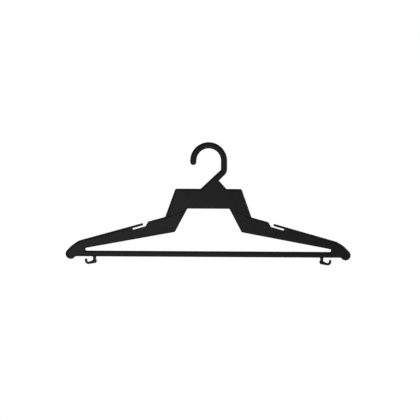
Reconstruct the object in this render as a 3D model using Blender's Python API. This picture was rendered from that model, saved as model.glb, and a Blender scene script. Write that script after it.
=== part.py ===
"""A moulded plastic clothes hanger with a fixed hook, notched arms, a trouser bar and two skirt hooks.

Lengths are in metres and angles in degrees. The front faces -Y, +X is to the right and +Z is up. The origin
is the rail saddle, the highest point inside the hook. Outlines are drawn in the XZ plane as (x, z) points,
anticlockwise as seen from the front, so that the plastic lies to the left of each edge.
"""

import math

import bmesh
import bpy
import numpy as np

# Whole hanger
OVERALL_WIDTH = 0.430
BODY_DEPTH = 0.0080
SEAM_GAP = 0.0003
SEAM_MARGIN = 0.0007
EDGE_CHAMFER = 0.0004
JOINT_CLEARANCE = 0.0003
CUT_OVERRUN = 0.0010
ROOT_OVERLAP = 0.0020

# Moulded section: a flat front skin with a rim and cross ribs behind it
SKIN = 0.0022
RIM = 0.0024
RIB = 0.0018

# Hook
HOOK_INNER_RADIUS = 0.0187
HOOK_WIRE = 0.0090
HOOK_DEPTH = 0.0080
HOOK_ROUNDING = 0.0028
HOOK_LIP_DROP = 0.0022
HOOK_STEM_DROP = 0.01605
HOOK_BEND_RADIUS = 0.0072
HOOK_SLANT_DEG = 43.5
HOOK_SLANT_LENGTH = 0.0148
HOOK_SLANT_WIDTH = 0.0094
HOOK_FOOT_ROUNDING = 0.0012
SPIGOT_LENGTH = 0.0110
SPIGOT_WIDTH = 0.0050
SPIGOT_DEPTH = 0.0036
SPIGOT_ROUNDING = 0.0006

# Bridge and its gusset
GUSSET_HEIGHT = 0.01295
GUSSET_DEG = 47.2
BRIDGE_TOP_WIDTH = 0.0995
BRIDGE_CORNER_RADIUS = 0.0030
BRIDGE_BEAM_HEIGHT = 0.02975
BRIDGE_INNER_WIDTH = 0.0636
BRIDGE_INNER_RADIUS = 0.0016
BRIDGE_SIDE_DEG = 19.6
BRIDGE_INNER_POCKETS = 2
SHOULDER_DROP = 0.0426
SHOULDER_RADIUS = 0.0020
SEAM_END_DEPTH = 0.0026
TONGUE_LENGTH = 0.0080
TONGUE_DEPTH = 0.0034
TONGUE_START_SHARE = 0.26
TONGUE_END_SHARE = 0.66

# Arms
LEG_DROP = 0.0353
LEG_INNER_DEG = 27.8
LEG_CORNER_RADIUS = 0.0023
TIP_LENGTH = 0.0297
OPENING_END_RADIUS = 0.0021
LOBE_RADIUS = 0.0078
LOBE_DROP = 0.0041
LOBE_FILLET = 0.0020
CROWN_RADIUS = 0.0600
CROWN_LENGTH = 0.0212
CROWN_RISE = 0.0201
ARM_INNER_POCKETS = 2
ARM_OUTER_POCKETS = 3

# Strap notch and its springy finger
NOTCH_START = 0.0266
NOTCH_RAMP_DEG = 45.0
NOTCH_STEP_RADIUS = 0.0014
NOTCH_FLOOR_RADIUS = 0.0012
NOTCH_MOUTH = 0.0080
SLOT_HEIGHT = 0.0027
FINGER_LENGTH = 0.0187
FINGER_THICKNESS = 0.0031
SEAT_LIP_DEG = 25.0

# Trouser bar
BAR_DROP = 0.0942
BAR_HEIGHT = 0.0083
BAR_DEPTH = 0.0080
BAR_ROUNDING = 0.0009
BAR_POCKETS = 8
TENON_LENGTH = 0.0120
TENON_HEIGHT = 0.0042
TENON_DEPTH = 0.0036
TENON_ROUNDING = 0.0006

# Skirt hooks
SKIRT_HOOK_INSET = 0.0437
SKIRT_HOOK_DEPTH = 0.0045
PEG_WIDTH = 0.0026
PEG_HEIGHT = 0.0040
STEM_WIDTH = 0.0042
HEEL_DROP = 0.0068
HEEL_RADIUS = 0.0033
CUP_REACH = 0.0090
CUP_DROP = 0.0066
CUP_INNER_RADIUS = 0.0021
CUP_WALL = 0.0032
CUP_LIP_RISE = 0.0015
CUP_ROOT_RADIUS = 0.0012

# Smoothness of the round stretches
ARC_STEP_DEG = 7.5
SECTION_STEPS = 4
TIP_RINGS = 5
SHARP_DEG = 32.0

# Black polypropylene
CHARCOAL = (0.020, 0.020, 0.021, 1.0)
SATIN_ROUGHNESS = 0.48


def at(x, z):
    """A point of the XZ plane."""
    return np.array((x, z), float)


def heading(degrees):
    """The unit direction at an angle from +X towards +Z."""
    return at(math.cos(math.radians(degrees)), math.sin(math.radians(degrees)))


def angle_of(direction):
    """The angle of a direction from +X towards +Z, in degrees."""
    return math.degrees(math.atan2(direction[1], direction[0]))


def left_of(direction):
    """A direction turned a quarter turn from +X towards +Z."""
    return at(-direction[1], direction[0])


def towards(start, end):
    """The unit direction from one point to another."""
    return (end - start) / np.linalg.norm(end - start)


def crossing(first, first_way, second, second_way):
    """The point where two lines cross, each given by a point and a direction."""
    ways = np.column_stack((first_way, -second_way))
    return first + np.linalg.solve(ways, second - first)[0] * first_way


def arc(centre, radius, start, end):
    """Points along an arc from one angle to another, both ends included."""
    count = max(2, math.ceil(abs(end - start) / ARC_STEP_DEG) + 1)
    return [centre + radius * heading(angle) for angle in np.linspace(start, end, count)]


def tangent_length(before, corner, after, radius):
    """How far from a corner its rounding starts."""
    half_angle = math.acos(towards(corner, before) @ towards(corner, after)) / 2
    return radius / math.tan(half_angle)


def rounding(before, corner, after, radius):
    """The arc that rounds a corner between two straight edges."""
    reach = tangent_length(before, corner, after, radius)
    start = corner + reach * towards(corner, before)
    end = corner + reach * towards(corner, after)
    to_centre = left_of(towards(before, corner))
    if to_centre @ (after - corner) < 0:
        to_centre = -to_centre
    centre = start + radius * to_centre
    first = angle_of(start - centre)
    turn = (angle_of(end - centre) - first + 180) % 360 - 180
    return arc(centre, radius, first, first + turn)


def outline(corners):
    """The points of a closed outline, from its corners as (point, radius) pairs; radius 0 is sharp."""
    points = []
    for index, (corner, radius) in enumerate(corners):
        before = corners[index - 1][0]
        after = corners[(index + 1) % len(corners)][0]
        points += rounding(before, corner, after, radius) if radius else [corner]
    return points


def sharp(points):
    """Points as corners with no rounding."""
    return [(point, 0) for point in points]


def mirrored(points):
    """An outline of the right side made into that of the left, still anticlockwise."""
    return [at(-x, z) for x, z in reversed(points)]


def sided(side, points):
    """An outline of the right side, or its mirror image where side is -1."""
    return points if side > 0 else mirrored(points)


def inset(points, distance):
    """A closed outline moved inwards, each corner along its own bisector."""
    moved = []
    for index, corner in enumerate(points):
        first = left_of(towards(points[index - 1], corner))
        second = left_of(towards(corner, points[(index + 1) % len(points)]))
        moved.append(corner + distance * (first + second) / (1 + first @ second))
    return moved


def strip(start, end, width):
    """A rectangle about the line from one point to another."""
    across = left_of(towards(start, end)) * width / 2
    return [start - across, end - across, end + across, start + across]


def clipped(points, edges):
    """The part of a convex outline that lies to the left of every edge, each a point and a direction."""
    for origin, way in edges:
        kept = []
        inward = left_of(way)
        for index, point in enumerate(points):
            following = points[(index + 1) % len(points)]
            here = (point - origin) @ inward
            there = (following - origin) @ inward
            if here >= 0:
                kept.append(point)
            if here * there < 0:
                kept.append(point + (following - point) * here / (here - there))
        points = kept
    return points


# Levels and side positions of the right half

RIGHT = at(1, 0)
UP = at(0, 1)
HALF_WIDTH = OVERALL_WIDTH / 2
BLANK = [at(-HALF_WIDTH, -HALF_WIDTH), at(HALF_WIDTH, -HALF_WIDTH), at(HALF_WIDTH, 0), at(-HALF_WIDTH, 0)]

HOOK_CENTRE = at(0, -HOOK_INNER_RADIUS)
HOOK_MID_RADIUS = HOOK_INNER_RADIUS + HOOK_WIRE / 2
HOOK_BEND = HOOK_CENTRE + at(HOOK_MID_RADIUS, -HOOK_STEM_DROP)
SLANT_WAY = heading(HOOK_SLANT_DEG - 180)
HOOK_FOOT = HOOK_BEND + HOOK_SLANT_LENGTH * SLANT_WAY
FOOT_ACROSS = left_of(SLANT_WAY) * HOOK_SLANT_WIDTH / 2
GUSSET_SEAT = HOOK_FOOT + SEAM_GAP * SLANT_WAY

BRIDGE_TOP = (GUSSET_SEAT + FOOT_ACROSS)[1] - GUSSET_HEIGHT
BRIDGE_CORNER = at(BRIDGE_TOP_WIDTH / 2, BRIDGE_TOP)
BRIDGE_SIDE_WAY = heading(BRIDGE_SIDE_DEG - 90)
SHOULDER = BRIDGE_CORNER + BRIDGE_SIDE_WAY * SHOULDER_DROP / math.cos(math.radians(BRIDGE_SIDE_DEG))
INNER_CORNER = at(BRIDGE_INNER_WIDTH / 2, BRIDGE_TOP - BRIDGE_BEAM_HEIGHT)
LEG_WAY = heading(LEG_INNER_DEG - 90)
LEG_CORNER = INNER_CORNER + LEG_WAY * LEG_DROP / math.cos(math.radians(LEG_INNER_DEG))

BAR_TOP = BRIDGE_TOP - BAR_DROP
BAR_BOTTOM = BAR_TOP - BAR_HEIGHT
BAR_MIDDLE = BAR_TOP - BAR_HEIGHT / 2
OPENING_END = HALF_WIDTH - TIP_LENGTH
BAR_HALF = OPENING_END - OPENING_END_RADIUS - SEAM_MARGIN
OPENING_CORNER = at(OPENING_END, BAR_TOP + 2 * OPENING_END_RADIUS)
UNDERSIDE_WAY = towards(LEG_CORNER, OPENING_CORNER)
SKIRT_HOOK_SEAT = at(HALF_WIDTH - SKIRT_HOOK_INSET, BAR_BOTTOM)

LOBE_CENTRE = at(HALF_WIDTH - LOBE_RADIUS, BAR_BOTTOM - LOBE_DROP + LOBE_RADIUS)
CROWN_START = at(HALF_WIDTH - CROWN_LENGTH, LOBE_CENTRE[1] + CROWN_RISE)
ARM_WAY = towards(SHOULDER, CROWN_START)
NOTCH_DEPTH = FINGER_THICKNESS + SLOT_HEIGHT
FINGER_START = NOTCH_START + NOTCH_MOUTH
FINGER_ROOT = FINGER_START + FINGER_LENGTH
SEAT_RADIUS = FINGER_THICKNESS / 2 + SEAM_GAP


def on_arm(along, depth):
    """A point of the right arm, from its distance along the top edge and its depth below that edge."""
    return SHOULDER + along * ARM_WAY - depth * left_of(ARM_WAY)


FINGER_AXIS = on_arm(FINGER_ROOT, FINGER_THICKNESS / 2)


def seam(shift):
    """The right arm's seam as inner end, elbow and outer end, moved by shift into the bridge."""
    inner_reach = tangent_length(INNER_CORNER - RIGHT, INNER_CORNER, LEG_CORNER, BRIDGE_INNER_RADIUS)
    outer_reach = tangent_length(BRIDGE_CORNER, SHOULDER, CROWN_START, SHOULDER_RADIUS)
    elbow = on_arm(outer_reach + SEAM_MARGIN, SEAM_END_DEPTH)
    seam_way = towards(INNER_CORNER + (inner_reach + SEAM_MARGIN) * LEG_WAY, elbow)
    jog_way = left_of(ARM_WAY)
    on_seam = elbow + shift * left_of(seam_way)
    on_jog = elbow + shift * left_of(jog_way)
    return (
        crossing(on_seam, seam_way, INNER_CORNER, LEG_WAY),
        crossing(on_seam, seam_way, on_jog, jog_way),
        crossing(on_jog, jog_way, SHOULDER, ARM_WAY),
    )


def circle_meeting(centre, radius, other_centre, other_radius):
    """Where two circles meet, on the left of the way from the first centre to the second."""
    way = towards(centre, other_centre)
    apart = np.linalg.norm(other_centre - centre)
    along = (apart**2 + radius**2 - other_radius**2) / (2 * apart)
    return centre + along * way + math.sqrt(radius**2 - along**2) * left_of(way)


def bridge_outline():
    """The beam with its gusset on top and a short leg at each end, down to the arms' seams."""
    inner, elbow, outer = seam(SEAM_GAP / 2)
    gusset_foot = (GUSSET_SEAT + FOOT_ACROSS, GUSSET_SEAT - FOOT_ACROSS)
    right_foot = crossing(gusset_foot[0], heading(-GUSSET_DEG), BRIDGE_CORNER, RIGHT)
    left_foot = crossing(gusset_foot[1], SLANT_WAY, BRIDGE_CORNER, RIGHT)
    right_side = [(INNER_CORNER, BRIDGE_INNER_RADIUS), *sharp((inner, elbow, outer))]
    right_side += [(SHOULDER, SHOULDER_RADIUS), (BRIDGE_CORNER, BRIDGE_CORNER_RADIUS)]
    left_side = [(at(-x, z), radius) for (x, z), radius in reversed(right_side)]
    gusset = sharp((right_foot, *gusset_foot, left_foot))
    return outline(right_side + gusset + left_side)


def lobe_points():
    """The arm's rounded end, from the underside round the lobe and up the crown to the straight top edge."""
    fillet_level = BAR_BOTTOM - LOBE_FILLET
    reach = LOBE_RADIUS + LOBE_FILLET
    across = math.sqrt(reach**2 - (LOBE_CENTRE[1] - fillet_level) ** 2)
    fillet_centre = at(LOBE_CENTRE[0] - across, fillet_level)
    contact = angle_of(LOBE_CENTRE - fillet_centre)
    crown_centre = circle_meeting(LOBE_CENTRE, CROWN_RADIUS - LOBE_RADIUS, CROWN_START, CROWN_RADIUS)
    crown_end = angle_of(LOBE_CENTRE - crown_centre)
    points = arc(fillet_centre, LOBE_FILLET, 90, contact)
    points += arc(LOBE_CENTRE, LOBE_RADIUS, contact - 180, crown_end)[1:]
    points += arc(crown_centre, CROWN_RADIUS, crown_end, angle_of(CROWN_START - crown_centre))[1:]
    return points


def notch_corners():
    """The strap notch from its outer end inwards: the finger's round seat, the slot's floor and the ramp."""
    lip = angle_of(ARM_WAY) + SEAT_LIP_DEG
    seat = arc(FINGER_AXIS, SEAT_RADIUS, lip, angle_of(ARM_WAY) - 90)
    lip_top = crossing(seat[0], left_of(ARM_WAY), SHOULDER, ARM_WAY)
    ramp = NOTCH_DEPTH * math.tan(math.radians(NOTCH_RAMP_DEG))
    floor = [(on_arm(FINGER_ROOT, NOTCH_DEPTH), NOTCH_FLOOR_RADIUS)]
    floor.append((on_arm(NOTCH_START + ramp, NOTCH_DEPTH), NOTCH_FLOOR_RADIUS))
    return sharp([lip_top, *seat]) + floor + [(on_arm(NOTCH_START, 0), NOTCH_STEP_RADIUS)]


def arm_outline():
    """The right arm from its seam with the bridge to its lobed end."""
    inner, elbow, outer = seam(-SEAM_GAP / 2)
    corners = [(inner, 0), (LEG_CORNER, LEG_CORNER_RADIUS)]
    corners.append((OPENING_CORNER, OPENING_END_RADIUS))
    corners.append((at(OPENING_END, BAR_TOP), OPENING_END_RADIUS))
    corners += sharp([at(BAR_HALF, BAR_TOP), at(BAR_HALF, BAR_BOTTOM), *lobe_points()])
    corners += notch_corners()
    corners += sharp((outer, elbow))
    return outline(corners)


def finger_outline():
    """The right strap finger, a straight strip with round ends, the outer one turning in the arm's seat."""
    along = angle_of(ARM_WAY)
    radius = FINGER_THICKNESS / 2
    tip = on_arm(FINGER_START + radius, radius)
    return arc(FINGER_AXIS, radius, along - 90, along + 90) + arc(tip, radius, along + 90, along + 270)


def skirt_hook_outline():
    """The right skirt hook: peg, stem, round heel and a cup that opens upwards."""
    seat = SKIRT_HOOK_SEAT
    half_stem = STEM_WIDTH / 2
    heel = seat - HEEL_DROP * UP
    cup = seat + at(CUP_REACH, -CUP_DROP)
    wall_radius = CUP_INNER_RADIUS + CUP_WALL / 2
    outer_radius = CUP_INNER_RADIUS + CUP_WALL
    dip = math.degrees(math.asin(wall_radius / np.linalg.norm(cup - heel)))
    web_way = heading(angle_of(cup - heel) - dip)
    below_web = heel - left_of(web_way) * CUP_WALL / 2
    reach = math.sqrt(HEEL_RADIUS**2 - (CUP_WALL / 2) ** 2)
    heel_end = angle_of(below_web + reach * web_way - heel) % 360
    heel_start = angle_of(at(-half_stem, math.sqrt(HEEL_RADIUS**2 - half_stem**2)))
    web_turn = angle_of(web_way) - 90
    lip = cup + at(wall_radius, CUP_LIP_RISE)
    web_top = crossing(heel + left_of(web_way) * CUP_WALL / 2, web_way, seat + half_stem * RIGHT, UP)
    shoulder = seat - SEAM_GAP * UP
    half_peg = PEG_WIDTH / 2 * RIGHT
    corners = sharp([seat - half_peg + PEG_HEIGHT * UP, shoulder - half_peg, shoulder - half_stem * RIGHT])
    corners += sharp(arc(heel, HEEL_RADIUS, heel_start, heel_end))
    corners += sharp(arc(cup, outer_radius, web_turn, 0))
    corners += sharp(arc(lip, CUP_WALL / 2, 0, 180))
    corners += sharp(arc(cup, CUP_INNER_RADIUS, 0, web_turn))
    corners.append((web_top, CUP_ROOT_RADIUS))
    corners += sharp([shoulder + half_stem * RIGHT, shoulder + half_peg, seat + half_peg + PEG_HEIGHT * UP])
    return outline(corners)


def bridge_pockets():
    """The hollows behind the beam: equal ones in the middle and an outer one above each arm's tongue."""
    tongue = tongue_outline(JOINT_CLEARANCE, 0)
    tongue_way = towards(tongue[0], tongue[1])
    edges = [
        (BRIDGE_CORNER - RIM * UP, -RIGHT),
        (INNER_CORNER + RIM * UP, RIGHT),
        (BRIDGE_CORNER + RIM * left_of(-BRIDGE_SIDE_WAY), -BRIDGE_SIDE_WAY),
    ]
    above_tongue = (tongue[3] + RIM * left_of(tongue_way), tongue_way)
    starts = np.linspace(RIB / 2, tongue[0][0] - RIM + RIB, BRIDGE_INNER_POCKETS + 1)
    right_half = [clipped(BLANK, [*edges, above_tongue, (at(starts[-1], 0), -UP)])]
    for left, following in zip(starts[:-1], starts[1:]):
        right_half.append(clipped(BLANK, [*edges, (at(left, 0), -UP), (at(following - RIB, 0), UP)]))
    return right_half + [mirrored(points) for points in right_half]


def arm_pockets():
    """The hollows behind the right arm: one in the leg, rows along the arm and one in its end."""
    start, elbow, _ = seam(0)
    seam_way = towards(start, elbow)
    across = -left_of(ARM_WAY)
    under = (LEG_CORNER + RIM * left_of(UNDERSIDE_WAY), UNDERSIDE_WAY)
    below_top = (on_arm(0, RIM), -ARM_WAY)
    below_notch = (on_arm(0, NOTCH_DEPTH + RIM), -ARM_WAY)
    leg_edge = (LEG_CORNER + RIM * left_of(LEG_WAY), LEG_WAY)
    below_seam = (elbow - RIM * left_of(seam_way), -seam_way)
    pockets = [clipped(BLANK, [under, leg_edge, below_seam, (on_arm(RIM, 0), -across)])]

    def row(starts, above):
        for left, following in zip(starts[:-1], starts[1:]):
            band = [(on_arm(left, 0), across), (on_arm(following - RIB, 0), -across)]
            pockets.append(clipped(BLANK, [under, above, *band]))

    before_notch = NOTCH_START - RIM + RIB
    after_notch = FINGER_ROOT + SEAT_RADIUS + RIM + RIB
    row_end = crossing(OPENING_CORNER - RIM * RIGHT, UP, SHOULDER, ARM_WAY)
    last_start = np.linalg.norm(row_end - SHOULDER) + RIB
    row((RIM + RIB, before_notch), below_top)
    row(np.linspace(before_notch, after_notch, ARM_INNER_POCKETS + 1), below_notch)
    row(np.linspace(after_notch, last_start, ARM_OUTER_POCKETS + 1), below_top)
    tip_limits = [(at(OPENING_END + RIM, 0), -UP), (at(CROWN_START[0], 0), UP)]
    tip_limits += [(at(0, BAR_TOP + RIM), RIGHT), below_top]
    pockets.append(clipped(BLANK, tip_limits))
    return pockets


def bar_pockets():
    """The hollows along the back of the trouser bar, between the solid ends that hold the skirt hooks."""
    half = SKIRT_HOOK_SEAT[0] - PEG_WIDTH / 2 - JOINT_CLEARANCE - RIM
    starts = np.linspace(-half, half + RIB, BAR_POCKETS + 1)
    low = at(0, BAR_BOTTOM + RIM)
    high = at(0, BAR_TOP - RIM)
    middle = (low + high) / 2
    height = (high - low)[1]
    return [
        strip(middle + left * RIGHT, middle + (following - RIB) * RIGHT, height)
        for left, following in zip(starts[:-1], starts[1:])
    ]


def box_section(width, height, radius):
    """A rectangle with rounded corners about the origin, always with the same number of points."""
    corner = at(width / 2 - radius, height / 2 - radius)
    points = []
    for quarter, signs in enumerate(((1, 1), (-1, 1), (-1, -1), (1, -1))):
        for step in range(SECTION_STEPS + 1):
            turn = heading(90 * (quarter + step / SECTION_STEPS))
            points.append(corner * signs + radius * turn)
    return points


def material_of(name):
    """A satin black plastic of its own for each piece."""
    material = bpy.data.materials.new(name)
    material.use_nodes = True
    shader = material.node_tree.nodes["Principled BSDF"]
    shader.inputs["Base Color"].default_value = CHARCOAL
    shader.inputs["Roughness"].default_value = SATIN_ROUGHNESS
    shader.inputs["Metallic"].default_value = 0.0
    material.diffuse_color = CHARCOAL
    return material


def object_from(name, stacks, place):
    """An object at a place of the XZ plane, one closed body for each stack of rings of (x, y, z) points."""
    mesh = bpy.data.meshes.new(name)
    shape = bmesh.new()
    origin = np.array((place[0], 0, place[1]))
    for rings in stacks:
        layers = [[shape.verts.new(np.array(point) - origin) for point in ring] for ring in rings]
        shape.faces.new(layers[0])
        shape.faces.new(layers[-1])
        for low, high in zip(layers[:-1], layers[1:]):
            for index in range(len(low)):
                following = (index + 1) % len(low)
                shape.faces.new((low[index], low[following], high[following], high[index]))
    bmesh.ops.recalc_face_normals(shape, faces=shape.faces)
    shape.to_mesh(mesh)
    shape.free()
    mesh.shade_smooth()
    mesh.set_sharp_from_angle(angle=math.radians(SHARP_DEG))
    piece = bpy.data.objects.new(name, mesh)
    piece.location = origin
    bpy.context.scene.collection.objects.link(piece)
    return piece


def level(points, y):
    """An outline laid at one distance from front to back."""
    return [(x, y, z) for x, z in points]


def plate(name, points, depth, place):
    """A flat piece centred front to back, its front and back edges chamfered."""
    half = depth / 2
    narrow = inset(points, EDGE_CHAMFER)
    rings = [level(narrow, -half), level(points, EDGE_CHAMFER - half)]
    rings += [level(points, half - EDGE_CHAMFER), level(narrow, half)]
    return object_from(name, [rings], place)


def prism(points, front, back):
    """A straight body over an outline, between two distances from front to back."""
    return [level(points, front), level(points, back)]


def pocket(points, depth):
    """The hollow over an outline, from the back of a piece of the given depth down to its front skin."""
    return prism(points, SKIN - depth / 2, depth / 2 + CUT_OVERRUN)


def socket(points, depth):
    """The closed socket over an outline, centred front to back, for a tongue of the given depth."""
    half = depth / 2 + JOINT_CLEARANCE
    return prism(points, -half, half)


def combine(piece, operation, bodies):
    """Joins bodies to a piece or cuts them away."""
    helper = object_from(piece.name + "_" + operation.lower(), bodies, at(0, 0))
    helper.hide_render = True
    helper.display_type = "WIRE"
    modifier = piece.modifiers.new(helper.name, "BOOLEAN")
    modifier.operation = operation
    modifier.object = helper


def tongue_outline(clearance, root):
    """The right arm's tongue across its seam, grown by a clearance and started at a depth under the seam."""
    start, elbow, _ = seam(0)
    way = towards(start, elbow)
    up = left_of(way)
    first = start + (elbow - start) * TONGUE_START_SHARE - clearance * way
    last = start + (elbow - start) * TONGUE_END_SHARE + clearance * way
    rise = (TONGUE_LENGTH + clearance) * up
    return [first - root * up, last - root * up, last + rise, first + rise]


def make_hook():
    """The open hook, its bent stem and the spigot that enters the gusset."""
    start = HOOK_CENTRE - at(HOOK_MID_RADIUS, HOOK_LIP_DROP)
    path = [start, *arc(HOOK_CENTRE, HOOK_MID_RADIUS, 180, 0)]
    path += rounding(path[-1], HOOK_BEND, HOOK_FOOT, HOOK_BEND_RADIUS)
    bend_end = len(path)
    path.append(HOOK_FOOT)
    rings = []

    def add_ring(middle, way, section):
        across = left_of(way)
        rings.append([(*(middle + u * across), v) for u, v in section])

    full = box_section(HOOK_WIRE, HOOK_DEPTH, HOOK_ROUNDING)
    for step in range(1, TIP_RINGS + 1):
        swell = heading(90 * step / (TIP_RINGS + 1))
        add_ring(start - (HOOK_WIRE / 2 * swell[0]) * UP, UP, [swell[1] * corner for corner in full])
    for index, middle in enumerate(path[:bend_end]):
        way = towards(path[max(index - 1, 0)], path[index + 1])
        add_ring(middle, way, full)
    add_ring(HOOK_FOOT, SLANT_WAY, box_section(HOOK_SLANT_WIDTH, HOOK_DEPTH, HOOK_FOOT_ROUNDING))
    spigot = box_section(SPIGOT_WIDTH, SPIGOT_DEPTH, SPIGOT_ROUNDING)
    add_ring(HOOK_FOOT, SLANT_WAY, spigot)
    add_ring(HOOK_FOOT + SPIGOT_LENGTH * SLANT_WAY, SLANT_WAY, spigot)
    return object_from("hook", [[[(x, y, z) for x, z, y in ring] for ring in rings]], HOOK_CENTRE)


def make_bridge():
    """The beam and gusset, hollowed behind, with sockets for the hook's spigot and the arms' tongues."""
    bridge = plate("bridge", bridge_outline(), BODY_DEPTH, at(0, BRIDGE_TOP))
    spigot_start = HOOK_FOOT - CUT_OVERRUN * SLANT_WAY
    spigot_end = HOOK_FOOT + (SPIGOT_LENGTH + JOINT_CLEARANCE) * SLANT_WAY
    spigot = strip(spigot_start, spigot_end, SPIGOT_WIDTH + 2 * JOINT_CLEARANCE)
    tongue = tongue_outline(JOINT_CLEARANCE, CUT_OVERRUN)
    cuts = [pocket(points, BODY_DEPTH) for points in bridge_pockets()]
    cuts += [socket(spigot, SPIGOT_DEPTH)]
    cuts += [socket(points, TONGUE_DEPTH) for points in (tongue, mirrored(tongue))]
    combine(bridge, "DIFFERENCE", cuts)
    return bridge


def make_arm(side, word):
    """One arm, hollowed behind, with a tongue at its root and a socket for the trouser bar at its end."""
    place = at(side * SHOULDER[0], SHOULDER[1])
    arm = plate(word + "_arm", sided(side, arm_outline()), BODY_DEPTH, place)
    tongue = sided(side, tongue_outline(0, ROOT_OVERLAP))
    combine(arm, "UNION", [prism(tongue, -TONGUE_DEPTH / 2, TONGUE_DEPTH / 2)])
    tenon_start = at(BAR_HALF - CUT_OVERRUN, BAR_MIDDLE)
    tenon_end = at(BAR_HALF + TENON_LENGTH + JOINT_CLEARANCE, BAR_MIDDLE)
    tenon = sided(side, strip(tenon_start, tenon_end, TENON_HEIGHT + 2 * JOINT_CLEARANCE))
    cuts = [pocket(sided(side, points), BODY_DEPTH) for points in arm_pockets()]
    combine(arm, "DIFFERENCE", [*cuts, socket(tenon, TENON_DEPTH)])
    return arm


def make_finger(side, word):
    """One strap finger, with its origin on the axis that it flexes about."""
    place = at(side * FINGER_AXIS[0], FINGER_AXIS[1])
    return plate(word + "_strap_finger", sided(side, finger_outline()), BODY_DEPTH, place)


def make_bar():
    """The trouser bar, hollowed behind, with a tenon at each end and a peg socket for each skirt hook."""
    body = box_section(BAR_DEPTH, BAR_HEIGHT, BAR_ROUNDING)
    tenon = box_section(TENON_DEPTH, TENON_HEIGHT, TENON_ROUNDING)
    end = BAR_HALF - SEAM_GAP
    stations = ((-end - TENON_LENGTH, tenon), (-end, tenon), (-end, body))
    stations += tuple((-x, section) for x, section in reversed(stations))
    rings = [[(x, y, BAR_MIDDLE + z) for y, z in section] for x, section in stations]
    bar = object_from("trouser_bar", [rings], at(0, BAR_MIDDLE))
    peg_start = SKIRT_HOOK_SEAT - CUT_OVERRUN * UP
    peg_end = SKIRT_HOOK_SEAT + (PEG_HEIGHT + JOINT_CLEARANCE) * UP
    peg = strip(peg_start, peg_end, PEG_WIDTH + 2 * JOINT_CLEARANCE)
    cuts = [pocket(points, BAR_DEPTH) for points in bar_pockets()]
    cuts += [socket(points, SKIRT_HOOK_DEPTH) for points in (peg, mirrored(peg))]
    combine(bar, "DIFFERENCE", cuts)
    return bar


def make_skirt_hook(side, word):
    """One skirt hook, with its peg in the trouser bar."""
    place = at(side * SKIRT_HOOK_SEAT[0], SKIRT_HOOK_SEAT[1])
    return plate(word + "_skirt_hook", sided(side, skirt_hook_outline()), SKIRT_HOOK_DEPTH, place)


def main():
    for old in list(bpy.data.objects):
        bpy.data.objects.remove(old, do_unlink=True)
    hanger = bpy.data.objects.new("hanger", None)
    bpy.context.scene.collection.objects.link(hanger)
    pieces = [make_hook(), make_bridge(), make_bar()]
    for side, word in ((-1, "left"), (1, "right")):
        pieces += [make_arm(side, word), make_finger(side, word), make_skirt_hook(side, word)]
    for piece in pieces:
        piece.data.materials.append(material_of(piece.name))
        piece.parent = hanger


main()
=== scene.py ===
"""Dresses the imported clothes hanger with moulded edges, a cored back, satin black plastic and a studio.

Lengths are in metres and angles in radians. The front faces -Y, +X is to the right and +Z is up. Outlines
are drawn in the XZ plane as arrays of (x, z) points, anticlockwise as seen from the front, so that the
plastic lies to the left of each edge.
"""

import math

import bmesh
import bpy
import numpy as np
from bpy.props import FloatProperty, FloatVectorProperty, IntProperty, PointerProperty
from bpy.types import Operator, Panel, PropertyGroup
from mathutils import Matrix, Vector
from mathutils.geometry import tessellate_polygon


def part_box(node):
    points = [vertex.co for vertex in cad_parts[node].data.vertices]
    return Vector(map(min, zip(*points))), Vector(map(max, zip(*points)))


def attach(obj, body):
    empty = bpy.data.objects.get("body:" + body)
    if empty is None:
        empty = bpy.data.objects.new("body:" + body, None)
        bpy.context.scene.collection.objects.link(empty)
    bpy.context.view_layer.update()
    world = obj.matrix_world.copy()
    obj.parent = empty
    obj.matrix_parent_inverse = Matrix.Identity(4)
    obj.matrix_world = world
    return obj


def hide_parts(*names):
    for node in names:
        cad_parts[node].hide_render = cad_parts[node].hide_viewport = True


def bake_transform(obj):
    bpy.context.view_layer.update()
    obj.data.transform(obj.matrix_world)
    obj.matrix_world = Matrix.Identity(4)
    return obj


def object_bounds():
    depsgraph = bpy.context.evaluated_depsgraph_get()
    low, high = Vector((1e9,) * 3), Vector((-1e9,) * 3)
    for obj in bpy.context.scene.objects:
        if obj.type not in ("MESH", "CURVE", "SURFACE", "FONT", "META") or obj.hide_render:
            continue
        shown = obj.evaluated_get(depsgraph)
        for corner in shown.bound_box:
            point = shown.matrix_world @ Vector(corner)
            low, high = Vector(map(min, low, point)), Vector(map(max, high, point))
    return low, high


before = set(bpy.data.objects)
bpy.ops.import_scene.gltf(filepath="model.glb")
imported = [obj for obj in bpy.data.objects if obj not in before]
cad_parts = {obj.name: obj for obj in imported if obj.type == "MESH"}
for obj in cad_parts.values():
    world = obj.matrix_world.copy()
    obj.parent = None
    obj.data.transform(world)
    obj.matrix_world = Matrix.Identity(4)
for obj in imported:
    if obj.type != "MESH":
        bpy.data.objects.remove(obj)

bl_info = {
    "name": "Clothes hanger",
    "version": (1, 0, 0),
    "blender": (4, 5, 0),
    "location": "View3D > Sidebar > Hanger",
    "description": "Moulded clothes hanger with a cored back, satin black plastic and a white studio",
    "category": "Add Mesh",
}

RIGHT = np.array((1.0, 0.0))
UP = np.array((0.0, 1.0))
MIRROR = (-1, 1)
QUARTER = math.pi / 2
CAD_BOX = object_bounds()
BODY_LOW, BODY_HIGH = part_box("bridge")
CLIP_LOW, CLIP_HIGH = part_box("left_skirt_hook")


# Sizes and colours


def setting(kind, **fixed):
    """A function that makes settings of one kind, each from its default and its description."""

    def made(default, description):
        return kind(default=default, description=description, **fixed)

    return made


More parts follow.
